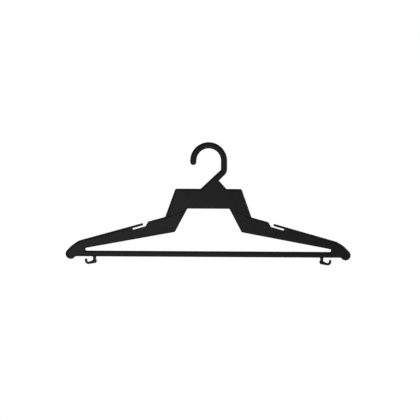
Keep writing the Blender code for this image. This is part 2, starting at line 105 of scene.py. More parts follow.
length = setting(FloatProperty, unit="LENGTH", precision=5)
fraction = setting(FloatProperty, subtype="FACTOR", min=0, max=1)
level = setting(FloatProperty, min=0)
number = setting(IntProperty, min=1)
colour = setting(FloatVectorProperty, subtype="COLOR", size=3)
spot = setting(FloatVectorProperty, subtype="XYZ", unit="LENGTH", size=3)


def turn(degrees, description):
    """An angle."""
    return FloatProperty(default=math.radians(degrees), description=description, unit="ROTATION")


class HookSizes(PropertyGroup):
    """The open hook and its bent stem."""

    inner_radius: length(0.01845, "Radius inside the hook, where the rail sits")
    seat_drop: length(0.0005, "How far the rail's seat lies under the origin")
    thickness: length(0.0095, "Width of the hook's bar as seen from the front")
    lip_drop: length(0.00205, "Straight stretch before the open end")
    stem_drop: length(0.0158, "Straight stretch below the hook's centre")
    bend_radius: length(0.0072, "Radius of the bend under the stem")
    slant: turn(43.5, "Slope of the slanted foot from level")
    slant_length: length(0.0148, "Length of the slanted foot from the bend's corner")
    foot_width: length(0.0099, "Width where the foot meets the gusset")
    stub: length(0.0044, "Stretch of the foot that is moulded with the gusset")


class BridgeSizes(PropertyGroup):
    """The bridge, which carries the hook and both arms."""

    gusset_height: length(0.01257, "Height of the gusset above the bridge")
    gusset_slope: turn(47.2, "Slope of the gusset's free side")
    gusset_radius: length(0.0008, "Rounding between the gusset and the hook's foot")
    top_width: length(0.0999, "Width between the upper corners")
    corner_radius: length(0.0030, "Rounding of the upper corners")
    beam_height: length(0.03015, "Height of the bridge above the opening")
    inner_width: length(0.06336, "Width between the legs under the bridge")
    inner_radius: length(0.0016, "Rounding of the corners under the bridge")
    side_slope: turn(19.6, "Lean of the sides from upright")
    shoulder_drop: length(0.04265, "Height of the sides")
    shoulder_radius: length(0.0020, "Rounding where the sides meet the arms")


class JointSizes(PropertyGroup):
    """The lines where one moulding meets the next."""

    gap: length(0.0003, "Open line between the bridge and each arm")
    overlap: length(0.00001, "How far the closed joints of the other pieces run into each other")
    tongue_depth: length(0.0018, "Depth from front to back of the tongue of an open joint")
    tongue_reach: length(0.0008, "How far the tongue along an open joint enters its groove")
    margin: length(0.0007, "Straight stretch kept beside each joint")
    clear_stretch: length(0.0070, "Stretch of the leg kept as one edge beside the joint")
    end_depth: length(0.0026, "Depth of the joint's short upright end")
    tongue_length: length(0.0080, "Length of the hidden tongue inside the bridge")
    tongue_start: fraction(0.26, "Where the hidden tongue starts along its joint")


class ArmSizes(PropertyGroup):
    """The arms with their legs and lobed ends."""

    leg_drop: length(0.0353, "Height of the leg's inner side")
    leg_slope: turn(27.8, "Lean of the leg's inner side from upright")
    leg_radius: length(0.0023, "Rounding at the foot of the leg")
    tip_length: length(0.0299, "Length of the solid end beyond the opening")
    end_radius: length(0.00189, "Rounding at the outer end of the opening")
    lobe_radius: length(0.0078, "Radius of the lobe at the end")
    lobe_drop: length(0.00405, "How far the lobe hangs under the bar")
    lobe_fillet: length(0.0020, "Rounding between the bar's underside and the lobe")
    crown_radius: length(0.0600, "Radius of the arm's sloping end")
    crown_length: length(0.0212, "Length of the crown")
    crown_rise: length(0.0205, "Height of the crown above the lobe's centre")


class NotchSizes(PropertyGroup):
    """The strap notch in each arm and the finger that springs over it."""

    start: length(0.0266, "Distance of the notch from the shoulder")
    ramp: turn(45.0, "Slope of the ramp into the notch")
    step_radius: length(0.0014, "Rounding at the top of the ramp")
    floor_radius: length(0.0012, "Rounding at the foot of the ramp")
    mouth: length(0.00825, "Open stretch between the ramp and the finger's tip")
    slot: length(0.0022, "Height of the slot under the finger")
    finger_length: length(0.0173, "Length of the finger from its tip")
    finger: length(0.0036, "Thickness of the finger")


class BarSizes(PropertyGroup):
    """The trouser bar."""

    drop: length(0.09415, "Height from the bridge's top to the bar")
    height: length(0.0088, "Height of the bar")


class SkirtHookSizes(PropertyGroup):
    """The two hooks for skirt loops under the bar."""

    inset: length(0.0437, "Distance of the hook's middle from the hanger's end")
    depth: length(round(CLIP_HIGH[1] - CLIP_LOW[1], 4), "Depth from front to back")
    stem: length(0.0047, "Width of the stem")
    heel_drop: length(0.00655, "How far the heel's centre lies under the bar")
    heel_radius: length(0.0036, "Radius of the heel")
    reach: length(0.0090, "Distance of the cup from the stem")
    drop: length(0.00615, "How far the cup's centre lies under the bar")
    inner_radius: length(0.0018, "Radius inside the cup")
    wall: length(0.0037, "Thickness round the cup")
    lip_rise: length(0.0013, "Height of the lip above the cup's centre")
    root: length(0.0016, "How far the stem runs up into the bar's rounded underside")
    flare: length(0.0012, "Rounding between the stem and the bar")
    root_radius: length(0.0020, "Rounding between the stem and the cup")
    front: length(0.0013, "Rounding of the front edges")
    peg_room: length(0.0016, "Half width of the solid stretch of the bar that holds the hook's peg")


class EdgeSizes(PropertyGroup):
    """How the moulded edges are finished."""

    width: length(round(CAD_BOX[1][0] - CAD_BOX[0][0], 4), "Width of the whole hanger")
    depth: length(round(BODY_HIGH[1] - BODY_LOW[1], 4), "Depth of the body from front to back")
    front: length(0.0038, "Rounding of the front edges, and of the hook all round")
    back: length(0.0006, "Rounding of the back edges")
    thin_share: fraction(0.34, "Width of the rounding at the fingers as a share of the full one")
    tight_stretch: length(0.0040, "Stretch beside a tight corner over which the rounding stays narrow")
    reach: length(0.0080, "Stretch over which the rounding grows wide again")
    ridge_height: length(0.00003, "Height of the parting line on the side walls")
    ridge_width: length(0.00022, "Width of the parting line")
    border: length(0.0002, "Width of the flat band beside the rounding")
    seam: fraction(0.07, "Width of the rounding at the open joints as a share of the full one")


class BackSizes(PropertyGroup):
    """The pockets behind the flat front."""

    skin: length(0.0022, "Thickness of the front behind the pockets")
    rim: length(0.0024, "Thickness of the walls round the outline")
    rib: length(0.0018, "Thickness of the cross ribs")
    corner: length(0.0016, "Rounding of the pockets' corners")
    lip: length(0.0003, "Rounding of the pockets' mouths")
    fillet: length(0.0007, "Rounding between the walls and the floor")
    draft: length(0.0001, "How much a pocket narrows towards its floor")
    mark_radius: length(0.0021, "Radius of the round marks of the ejector pins")
    mark_depth: length(0.00014, "Depth of the round marks of the ejector pins")
    gate_radius: length(0.0034, "Radius of the dimple where the plastic enters the mould")
    gate_depth: length(0.0005, "Depth of that dimple")
    bridge_pockets: number(2, "Equal pockets in each half of the bridge")
    notch_pockets: number(2, "Pockets under each strap notch")
    arm_pockets: number(3, "Pockets in the outer part of each arm")
    bar_pockets: number(8, "Pockets along the trouser bar")


class PlasticFinish(PropertyGroup):
    """The satin black plastic."""

    base: colour((0.0070, 0.0070, 0.0073), "Colour of the plastic")
    # Lighter colour on the rounded edges and the hook: handling wear, and a painted sheen that is strongest
    # on edges facing up
    worn: colour((0.018, 0.018, 0.0185), "Colour where handling has polished the edges")
    roughness: fraction(0.57, "Roughness of the moulded surface")
    polished: fraction(0.44, "Roughness where handling has polished the edges")
    grain: length(0.00040, "Size of the fine spark-eroded grain")
    grain_depth: length(0.00003, "Depth of the fine grain")
    grain_share: fraction(0.60, "Strength of the fine grain in colour")
    grain_roughness: fraction(0.30, "How much the grain changes the roughness")
    flow: length(0.018, "Size of the soft clouds left by the flowing plastic")
    flow_share: fraction(0.10, "Strength of the soft clouds")
    cloud_roughness: fraction(0.10, "How much the clouds change the roughness")
    streak: length(0.0030, "Size of the flow lines across their run")
    streak_squeeze: fraction(0.12, "Scale along X, which draws the lines out along it")
    streak_roughness: fraction(0.06, "How much the lines change the roughness")
    # The patches break up the lighter edge colour, which is handling wear and a painted sheen
    scuff: length(0.0028, "Size of the patches in the handling wear")
    scuff_low: fraction(0.42, "Level of the patches' noise where more wear starts")
    scuff_high: fraction(0.66, "Level of the patches' noise where the wear is full")
    even_wear: fraction(0.25, "Share of the wear that is the same in all patches")
    wave: length(0.009, "Size of the slow waviness")
    wave_depth: length(0.00006, "Depth of the slow waviness")
    refraction: level(1.49, "Index of refraction")
    gloss: level(0.13, "Level of the mirrored light")


class StudioSizes(PropertyGroup):
    """The floor, the lamps, the white surroundings and the camera."""

    floor_radius: length(0.60, "Radius of the pale floor")
    floor_drop: length(0.50, "Depth of the floor under the hook's saddle")
    floor: colour((0.80, 0.80, 0.80), "Colour of the floor")
    floor_roughness: fraction(0.90, "Roughness of the floor")
    mottle: length(0.08, "Size of the faint clouds in the floor's paint")
    mottle_share: fraction(0.03, "Strength of those clouds")
    veil: fraction(0.70, "How white the middle of the floor is to direct rays")
    key_power: level(2.9, "Power of the soft lamp at the front left, in watts")
    key_spot: spot((-0.16, -0.62, -0.19), "Where the soft lamp at the front left stands")
    key_width: length(0.42, "Width of the soft lamp at the front left")
    side_power: level(6.0, "Power of the soft lamp at the right, in watts")
    side_spot: spot((1.00, -0.05, 0.00), "Where the soft lamp at the right stands")
    side_width: length(0.50, "Width of the soft lamp at the right")
    back_power: level(6.0, "Power of the lamp behind the hanger, in watts")
    back_spot: spot((0.55, 0.85, 0.35), "Where the lamp behind the hanger stands")
    back_width: length(0.25, "Width of the lamp behind the hanger")
    lamp_aim: spot((-0.08, 0.00, -0.12), "The point of the hanger that the lamps face")
    front: level(0.128, "Brightness of the surroundings on the camera's side")
    rear: level(0.80, "Brightness of the surroundings behind the hanger")
    lean: fraction(0.40, "How much farther round the bright surroundings reach on the right")
    dip: fraction(0.20, "How much farther round the bright surroundings reach below")
    view_width: length(0.6333, "Width that the camera sees at the hanger")
    view_x: length(0.0024, "Side position of the middle of the view")
    view_z: length(-0.0933, "Height of the middle of the view")
    view_roll: turn(-0.335, "Turn of the camera about its own line of sight")
    camera_distance: length(4.0, "Distance of the camera in front of the hanger")


GROUPS = {
    "hook": HookSizes,
    "bridge": BridgeSizes,
    "joint": JointSizes,
    "arm": ArmSizes,
    "notch": NotchSizes,
    "bar": BarSizes,
    "skirt_hook": SkirtHookSizes,
    "edge": EdgeSizes,
    "back": BackSizes,
    "plastic": PlasticFinish,
    "studio": StudioSizes,
}


class HangerSettings(PropertyGroup):
    """Everything that can be set."""

    __annotations__ = {name: PointerProperty(type=group) for name, group in GROUPS.items()}


# Plane geometry on whole arrays


ARC_STEP = math.radians(5)  # largest angle between two points of an arc
ARC_ERROR = 0.00001  # largest distance of a chord from its arc
TOUCH = 2e-6  # distance from a line under which a point counts as on it
SLACK = 1e-6  # room for rounding errors
ALIKE = 1e-9  # difference under which two shares count as alike
TINY = 1e-12  # keeps a direction from having no length
IN_LINE = 0.9  # dot product of normals over which edges count as nearly in line


def at(x, z):
    """A point of the XZ plane."""
    return np.array((x, z), float)


def heading(angle):
    """The unit direction at an angle from +X towards +Z: its cosine and its sine."""
    return np.stack((np.cos(angle), np.sin(angle)), axis=-1)


def angle_of(way):
    """The angle of a direction, from the arc tangent of its two parts."""
    return math.atan2(way[1], way[0])


def left_of(ways):
    """Directions turned a quarter turn from +X towards +Z: (x, z) becomes (-z, x)."""
    return np.stack((-ways[..., 1], ways[..., 0]), axis=-1)


def unit(ways):
    """Directions divided by their lengths."""
    return ways / np.linalg.norm(ways, axis=-1, keepdims=True)


def crossing(first, first_way, second, second_way):
    """Where two lines cross, from the pair of equations first + a * way = second + b * way."""
    ways = np.column_stack((first_way, -second_way))
    return first + np.linalg.solve(ways, second - first)[0] * first_way


def arc(centre, radius, start, end):
    """Points on a circle: the centre plus the radius times the heading of evenly spaced angles.

    A chord lies from its arc by the radius times one less the cosine of half its angle. That and the
    angle itself are limited.
    """
    step = min(ARC_STEP, 2 * math.acos(1 - min(1, ARC_ERROR / radius)))
    count = max(2, math.ceil(abs(end - start) / step) + 1)
    return centre + radius * heading(np.linspace(start, end, count))


def tangent_length(before, corner, after, radius):
    """How far from a corner its rounding starts: the radius over the tangent of half the corner's angle."""
    return radius / math.tan(math.acos(unit(before - corner) @ unit(after - corner)) / 2)


def rounding(before, corner, after, radius):
    """The arc that touches both edges of a corner, its centre one radius inside the corner's angle."""
    reach = tangent_length(before, corner, after, radius)
    start = corner + reach * unit(before - corner)
    end = corner + reach * unit(after - corner)
    to_centre = left_of(unit(corner - before))
    centre = start + radius * to_centre * np.sign(to_centre @ (after - corner))
    first = angle_of(start - centre)
    sweep = (angle_of(end - centre) - first + math.pi) % (2 * math.pi) - math.pi
    return arc(centre, radius, first, first + sweep)


def outlined(corners):
    """A closed outline from (point, radius) pairs, each corner with a radius replaced by its rounding."""
    places = np.array([place for place, _ in corners])
    befores = np.roll(places, 1, axis=0)
    afters = np.roll(places, -1, axis=0)
    stretches = [
        rounding(before, place, after, radius) if radius else place[None]
        for before, (place, radius), after in zip(befores, corners, afters)
    ]
    return np.concatenate(stretches)


def sharp(points):
    """Points as corners with no rounding."""
    return [(point, 0) for point in points]


def divided(points, spacing):
    """A closed outline whose edges are split into equal steps no longer than the spacing."""
    edges = np.roll(points, -1, axis=0) - points
    counts = np.maximum(1, np.ceil(np.linalg.norm(edges, axis=1) / spacing - SLACK)).astype(int)
    firsts = np.repeat(np.cumsum(counts) - counts, counts)
    shares = (np.arange(counts.sum()) - firsts) / np.repeat(counts, counts)
    return np.repeat(points, counts, axis=0) + shares[:, None] * np.repeat(edges, counts, axis=0)


def on_stretch(points, start, end, margin):
    """Which points lie on the line from a start to an end, and no farther than the margin beyond them."""
    way = unit(end - start)
    along = (points - start) @ way
    near = np.abs((points - start) @ left_of(way)) < TOUCH
    return near & (along > -margin) & (along < np.linalg.norm(end - start) + margin)


def undivided(points, stretches):
    """A closed outline without the points strictly between the ends of each (start, end) stretch."""
    for start, end in stretches:
        points = points[~on_stretch(points, start, end, -TOUCH)]
    return points


def clipped(points, lines):
    """The part of a convex outline to the left of every line, each a point and a direction.

    Each corner is kept where its distance from the line is positive, and where two neighbours lie on either
    side, the point that divides their edge in the ratio of the distances is put between them.
    """
    for origin, way in lines:
        here = (points - origin) @ left_of(way)
        following = np.roll(here, -1)
        change = np.where(here == following, 1, here - following)
        cuts = points + (here / change)[:, None] * (np.roll(points, -1, axis=0) - points)
        kept = np.stack((here >= 0, here * following < 0), axis=1).ravel()
        points = np.stack((points, cuts), axis=1).reshape(-1, 2)[kept]
    return points


def strip(start, end, width):
    """A rectangle about the line from one point to another."""
    across = left_of(unit(end - start)) * width / 2
    return np.array((start - across, end - across, end + across, start + across))


def bays(starts, rib):
    """The start and end of each pocket of a row, with a rib left before the next start."""
    return [(start, following - rib) for start, following in zip(starts[:-1], starts[1:])]


def sided(side, points):
    """An outline of the right half, or its mirror image turned to run the same way round."""
    return points if side > 0 else points[::-1] * MIRROR


def sided_edges(side, values):
    """One value for each edge of an outline, in the order that its edges have after sided."""
    return values if side > 0 else np.roll(values[::-1], -1)


def mitres(points, shares):
    """How each point of a closed outline moves as its edges move inwards by their shares of one unit.

    The move has the two shares as its parts along the normals of the two edges. Where both shares are alike,
    or the edges are nearly in line, it is the weighted sum of the normals over one plus their dot product.
    """
    after = left_of(unit(np.roll(points, -1, axis=0) - points))
    before = np.roll(after, 1, axis=0)
    share_after = shares
    share_before = np.roll(shares, 1)
    dot = (before * after).sum(axis=1)
    even = (np.abs(share_after - share_before) < ALIKE) | (dot > IN_LINE)
    below = np.where(even, 1 + dot, np.maximum(1 - dot**2, SLACK))
    from_before = np.where(even, share_before, share_before - dot * share_after) / below
    from_after = np.where(even, share_after, share_after - dot * share_before) / below
    return from_before[:, None] * before + from_after[:, None] * after


class Rim:
    """A closed outline that a moulded edge is carried round, with a share and a reach for each edge.

    The share is the width of the edge's rounding against the full one. The reach is how far the middle of
    its wall stands out as a tongue, or in as a groove where it is negative. Each flush stretch, joint and
    plain stretch is kept as one edge.
    """

    def __init__(self, points, spacing=math.inf, flush=(), joints=(), plain=(), share=1):
        self.flush = flush
        self.joints = joints
        self.points = undivided(divided(points, spacing), (*flush, *joints, *plain))
        self.shares = np.full(len(self.points), share, float)
        self.reaches = np.zeros(len(self.points))

    def middles(self):
        """The middle of each edge."""
        return (self.points + np.roll(self.points, -1, axis=0)) / 2

    def edges_on(self, start, end):
        """Which edges have both their ends on a stretch."""
        near = on_stretch(self.points, start, end, TOUCH)
        return near & np.roll(near, -1)

    def narrow(self, edge, corners):
        """Narrows the rounding beside tight corners, each a place and how wide the rounding may be there.

        The share of an edge grows from the corner's own one to full with the distance of its middle.
        """
        widest = edge.front + edge.ridge_height + edge.border
        for corner, width in corners:
            away = np.linalg.norm(self.middles() - corner, axis=1)
            ends = edge.tight_stretch, edge.tight_stretch + edge.reach
            limits = np.interp(away, ends, (width / widest, 1))
            self.shares = np.minimum(self.shares, limits)

    def join(self, share=0, reach=0):
        """Gives the joints' edges their share and reach, and the flush edges no rounding."""
        for ends in self.joints:
            self.shares[self.edges_on(*ends)] = share
            self.reaches[self.edges_on(*ends)] = reach
        for ends in self.flush:
            self.shares[self.edges_on(*ends)] = 0


# The places and outlines of the right half


class Layout:
    """The places that several pieces share, worked out from the sizes."""

    def __init__(self, settings):
        self.settings = settings
        hook, bridge, arm, joint = settings.hook, settings.bridge, settings.arm, settings.joint
        notch, bar = settings.notch, settings.bar
        half_width = settings.edge.width / 2
        self.blank = half_width * np.array(((-1, -1), (1, -1), (1, 0), (-1, 0)))

        self.hook_centre = at(0, -hook.inner_radius - hook.seat_drop)
        self.hook_radius = hook.inner_radius + hook.thickness / 2
        self.hook_bend = self.hook_centre + at(self.hook_radius, -hook.stem_drop)
        self.slant_way = heading(hook.slant - math.pi)
        self.hook_foot = self.hook_bend + hook.slant_length * self.slant_way
        self.foot_across = left_of(self.slant_way) * hook.foot_width / 2
        self.hook_end = self.hook_foot - hook.stub * self.slant_way
        self.gusset_seat = self.hook_foot + joint.gap * self.slant_way

        self.bridge_top = (self.gusset_seat + self.foot_across)[1] - bridge.gusset_height
        self.bridge_corner = at(bridge.top_width / 2, self.bridge_top)
        self.side_way = heading(bridge.side_slope - QUARTER)
        side = self.side_way * bridge.shoulder_drop / math.cos(bridge.side_slope)
        self.shoulder = self.bridge_corner + side
        self.inner_corner = at(bridge.inner_width / 2, self.bridge_top - bridge.beam_height)
        self.leg_way = heading(arm.leg_slope - QUARTER)
        self.leg_corner = self.inner_corner + self.leg_way * arm.leg_drop / math.cos(arm.leg_slope)

        self.bar_top = self.bridge_top - bar.drop
        self.bar_bottom = self.bar_top - bar.height
        self.opening_end = half_width - arm.tip_length
        self.bar_half = self.opening_end - arm.end_radius - joint.margin
        self.opening_corner = at(self.opening_end, self.bar_top + 2 * arm.end_radius)
        self.underside_way = unit(self.opening_corner - self.leg_corner)
        self.skirt_hook_seat = at(half_width - settings.skirt_hook.inset, self.bar_bottom)

        lobe_level = self.bar_bottom - arm.lobe_drop + arm.lobe_radius
        self.lobe_centre = at(half_width - arm.lobe_radius, lobe_level)
        self.crown_start = at(half_width - arm.crown_length, lobe_level + arm.crown_rise)
        self.arm_way = unit(self.crown_start - self.shoulder)
        self.notch_depth = notch.finger + notch.slot
        self.finger_start = notch.start + notch.mouth
        self.finger_end = self.finger_start + notch.finger_length
        self.finger_root = self.finger_end - notch.slot / 2

    def on_arm(self, along, depth):
        """A point of the right arm: the shoulder plus a way along the edge, less a depth at right angles."""
        return self.shoulder + along * self.arm_way - depth * left_of(self.arm_way)

    def wall(self, place, way):
        """The inner face of a wall along a line: the line moved to its left by the wall's thickness."""
        return place + self.settings.back.rim * left_of(way), way

    def seam(self, shift):
        """The joint of the right arm as inner end, elbow and outer end, moved into the bridge by a shift."""
        joint, bridge = self.settings.joint, self.settings.bridge
        level_before = self.inner_corner - RIGHT
        inner_reach = tangent_length(level_before, self.inner_corner, self.leg_corner, bridge.inner_radius)
        outer_reach = tangent_length(
            self.bridge_corner, self.shoulder, self.crown_start, bridge.shoulder_radius
        )
        elbow = self.on_arm(outer_reach + joint.margin, joint.end_depth)
        way = unit(elbow - self.inner_corner - (inner_reach + joint.margin) * self.leg_way)
        jog_way = left_of(self.arm_way)
        on_seam = elbow + shift * left_of(way)
        on_jog = elbow + shift * left_of(jog_way)
        return (
            crossing(on_seam, way, self.inner_corner, self.leg_way),
            crossing(on_seam, way, on_jog, jog_way),
            crossing(on_jog, jog_way, self.shoulder, self.arm_way),
        )

    def bridge_outline(self):
        """The bridge with its gusset and legs: straight edges, rounded corners, mirrored about X = 0."""
        joint, bridge = self.settings.joint, self.settings.bridge
        inner, elbow, outer = self.seam(joint.gap / 2)
        seat = self.hook_end - joint.overlap * self.slant_way
        upper = self.gusset_seat + self.foot_across
        lower = self.gusset_seat - self.foot_across
        right_foot = crossing(upper, heading(-bridge.gusset_slope), self.bridge_corner, RIGHT)
        left_foot = crossing(lower, self.slant_way, self.bridge_corner, RIGHT)
        half = [(self.inner_corner, bridge.inner_radius), *sharp((inner, elbow, outer))]
        half += [(self.shoulder, bridge.shoulder_radius), (self.bridge_corner, bridge.corner_radius)]
        other_half = [(place * MIRROR, radius) for place, radius in reversed(half)]
        gusset = [(right_foot, 0), (upper, bridge.gusset_radius)]
        gusset += sharp((seat + self.foot_across, seat - self.foot_across, left_foot))
        return outlined(half + gusset + other_half)

    def lobe(self):
        """The arm's end as three touching circles: the fillet, the lobe and the crown."""
        arm = self.settings.arm
        fillet_level = self.bar_bottom - arm.lobe_fillet
        reach = arm.lobe_radius + arm.lobe_fillet
        across = math.sqrt(reach**2 - (self.lobe_centre[1] - fillet_level) ** 2)
        fillet_centre = at(self.lobe_centre[0] - across, fillet_level)
        contact = angle_of(self.lobe_centre - fillet_centre)
        apart = np.linalg.norm(self.crown_start - self.lobe_centre)
        inner_radius = arm.crown_radius - arm.lobe_radius
        way = unit(self.crown_start - self.lobe_centre)
        along = (apart**2 + inner_radius**2 - arm.crown_radius**2) / (2 * apart)
        aside = math.sqrt(inner_radius**2 - along**2)
        crown_centre = self.lobe_centre + along * way + aside * left_of(way)
        turned = angle_of(self.lobe_centre - crown_centre)
        last = angle_of(self.crown_start - crown_centre)
        return np.concatenate((
            arc(fillet_centre, arm.lobe_fillet, QUARTER, contact),
            arc(self.lobe_centre, arm.lobe_radius, contact - math.pi, turned)[1:],
            arc(crown_centre, arm.crown_radius, turned, last)[1:],
        ))

    def arm_outline(self):
        """The right arm: leg, underside, end and top edge, with the notch and its half-round slot end."""
        joint, arm, notch = self.settings.joint, self.settings.arm, self.settings.notch
        inner, elbow, outer = self.seam(-joint.gap / 2)
        corners = [(inner, 0), (self.leg_corner, arm.leg_radius), (self.opening_corner, arm.end_radius)]
        corners.append((at(self.opening_end, self.bar_top), arm.end_radius))
        corners += sharp((at(self.bar_half, self.bar_top), at(self.bar_half, self.bar_bottom)))
        corners += sharp(self.lobe())
        corners += sharp((self.on_arm(self.finger_root, 0), self.on_arm(self.finger_root, notch.finger)))
        slot_middle = self.on_arm(self.finger_root, notch.finger + notch.slot / 2)
        facing = angle_of(self.arm_way)
        corners += sharp(arc(slot_middle, notch.slot / 2, facing + QUARTER, facing - QUARTER)[1:])
        ramp = self.notch_depth * math.tan(notch.ramp)
        corners.append((self.on_arm(notch.start + ramp, self.notch_depth), notch.floor_radius))
        corners.append((self.on_arm(notch.start, 0), notch.step_radius))
        corners += sharp((outer, elbow))
        return outlined(corners)

    def notch_shares(self, middles):
        """The rounding's share at edges of the right arm: thin round the notch and full beyond a reach."""
        edge, notch = self.settings.edge, self.settings.notch
        along = (middles - self.shoulder) @ self.arm_way
        depth = (self.shoulder - middles) @ left_of(self.arm_way)
        first, last = notch.start - notch.step_radius, self.finger_root + notch.finger
        places = (first - edge.reach, first, last, last + edge.reach)
        shares = np.interp(along, places, (1, edge.thin_share, edge.thin_share, 1))
        return np.where(depth < self.notch_depth + TOUCH, shares, 1)

    def finger_outline(self):
        """The right strap finger: a straight strip cut square at its root and half round at its tip."""
        notch = self.settings.notch
        root = self.finger_root + self.settings.joint.overlap
        radius = notch.finger / 2
        facing = angle_of(self.arm_way)
        tip_middle = self.on_arm(self.finger_start + radius, radius)
        tip = arc(tip_middle, radius, facing + QUARTER, facing + 3 * QUARTER)
        return np.concatenate(((self.on_arm(root, notch.finger), self.on_arm(root, 0)), tip))

    def skirt_hook_outline(self):
        """The right skirt hook: flared stem, round heel and a cup that opens upwards.

        The straight edge under the web touches the circles of the heel and of the cup's outside. Its normal
        leans from the line between their centres by the arc cosine of the difference of the two radii over
        the distance of the centres.
        """
        size = self.settings.skirt_hook
        seat = self.skirt_hook_seat
        half_stem = size.stem / 2
        heel = seat - size.heel_drop * UP
        cup = seat + at(size.reach, -size.drop)
        apart = np.linalg.norm(cup - heel)
        wall_radius = size.inner_radius + size.wall / 2
        outer_radius = size.inner_radius + size.wall
        web_angle = angle_of(cup - heel) - math.asin(wall_radius / apart)
        web_way = heading(web_angle)
        below_web = angle_of(cup - heel) - math.acos((size.heel_radius - outer_radius) / apart)
        heel_start = angle_of(at(-half_stem, math.sqrt(size.heel_radius**2 - half_stem**2)))
        lip = cup + at(wall_radius, size.lip_rise)
        web_top = crossing(heel + left_of(web_way) * size.wall / 2, web_way, seat + half_stem * RIGHT, UP)
        flare = at(half_stem + size.flare, -size.flare)
        root = (half_stem + size.flare) * RIGHT
        inside = arc(cup, size.inner_radius, 0, web_angle - QUARTER)
        last_flare = arc(seat + flare, size.flare, math.pi, QUARTER)
        return np.concatenate((
            [seat + size.root * UP - root],
            arc(seat + flare * MIRROR, size.flare, QUARTER, 0),
            arc(heel, size.heel_radius, heel_start, below_web + 2 * math.pi),
            arc(cup, outer_radius, below_web, 0),
            arc(lip, size.wall / 2, 0, math.pi),
            inside,
            rounding(inside[-1], web_top, last_flare[0], size.root_radius),
            last_flare,
            [seat + size.root * UP + root],
        ))

    def bar_outline(self):
        """The trouser bar as a long rectangle between the two arms."""
        half = self.bar_half + self.settings.joint.overlap
        middle = (self.bar_top + self.bar_bottom) / 2
        return strip(at(-half, middle), at(half, middle), self.settings.bar.height)

    def bridge_pockets(self):
        """The pockets of the right half of the bridge, each the blank cut by straight lines."""
        back, joint = self.settings.back, self.settings.joint
        start, elbow, _ = self.seam(0)
        way = unit(elbow - start)
        tongue = start + (elbow - start) * joint.tongue_start - joint.gap * way
        tongue_top = tongue + (joint.tongue_length + joint.gap) * left_of(way)
        lines = [
            self.wall(self.bridge_corner, -RIGHT),
            self.wall(self.inner_corner, RIGHT),
            self.wall(self.bridge_corner, -self.side_way),
        ]
        starts = np.linspace(back.rib / 2, tongue[0] - back.rim + back.rib, back.bridge_pockets + 1)
        above_tongue = [self.wall(tongue_top, way), (at(starts[-1], 0), -UP)]
        pockets = [clipped(self.blank, lines + above_tongue)]
        for first, last in bays(starts, back.rib):
            pockets.append(clipped(self.blank, [*lines, (at(first, 0), -UP), (at(last, 0), UP)]))
        return pockets

    def arm_pockets(self):
        """The pockets of the right arm: one in the leg, rows along the arm and one in its end."""
        back, notch = self.settings.back, self.settings.notch
        start, elbow, _ = self.seam(0)
        across = -left_of(self.arm_way)
        under = self.wall(self.leg_corner, self.underside_way)
        below_top = self.wall(self.shoulder, -self.arm_way)
        below_notch = self.wall(self.on_arm(0, self.notch_depth), -self.arm_way)
        leg = [self.wall(self.leg_corner, self.leg_way), self.wall(elbow, -unit(elbow - start))]
        pockets = [clipped(self.blank, [under, *leg, (self.on_arm(back.rim, 0), -across)])]

        def row(starts, above):
            for first, last in bays(starts, back.rib):
                band = [(self.on_arm(first, 0), across), (self.on_arm(last, 0), -across)]
                pockets.append(clipped(self.blank, [under, above, *band]))

        before_notch = notch.start - back.rim + back.rib
        seat_end = self.finger_end + notch.finger / 2 + self.settings.joint.gap
        after_notch = seat_end + back.rim + back.rib
        row_end = crossing(self.opening_corner - back.rim * RIGHT, UP, self.shoulder, self.arm_way)
        last_start = np.linalg.norm(row_end - self.shoulder) + back.rib
        row((back.rim + back.rib, before_notch), below_top)
        row(np.linspace(before_notch, after_notch, back.notch_pockets + 1), below_notch)
        row(np.linspace(after_notch, last_start, back.arm_pockets + 1), below_top)
        inner, lower = (self.wall(at(self.opening_end, self.bar_top), way) for way in (-UP, RIGHT))
        pockets.append(clipped(self.blank, [inner, (self.crown_start, UP), lower, below_top]))
        return pockets

    def bar_pockets(self):
        """The pockets along the back of the bar, equal rectangles between its solid ends."""
        back = self.settings.back
        half = self.skirt_hook_seat[0] - self.settings.skirt_hook.peg_room - back.rim
        starts = np.linspace(-half, half + back.rib, back.bar_pockets + 1)
        middle = (self.bar_top + self.bar_bottom) / 2
        height = self.bar_top - self.bar_bottom - 2 * back.rim
        return [strip(at(start, middle), at(end, middle), height) for start, end in bays(starts, back.rib)]


# Moulded pieces


SUPPORT = 0.00006  # distance of a support loop from the crease it keeps clean
ROOM = 0.85  # how much of a tight corner the rounding may fill
SHARP = math.radians(32)  # smallest angle of a crease
FILLET_STEPS = 6  # steps of a quarter circle in a profile
WELL_POINTS = 32  # points of a circle in the back
FINE_SPACING, SPACING, WIDE_SPACING = 0.0007, 0.002, 0.006  # longest edges of outlines
MARK_ROOM = 0.62  # how much of a pocket's floor its ejector mark may fill
SIDEWAYS_WEAR_AND_SHEEN = 0.35  # wear and painted sheen on edges that don't face upwards, against one on edges facing up


def in_space(flat, y):
    """Points of the XZ plane at a depth: (x, z) becomes (x, y, z)."""
    return np.stack((flat[..., 0], np.broadcast_to(y, flat.shape[:-1]), flat[..., 1]), axis=-1)


def circles(centre, radii, count):
    """A ring of points for each radius: the centre plus the radius times the heading of even angles."""
    return centre + radii[:, None, None] * heading(np.linspace(0, 2 * math.pi, count, endpoint=False))


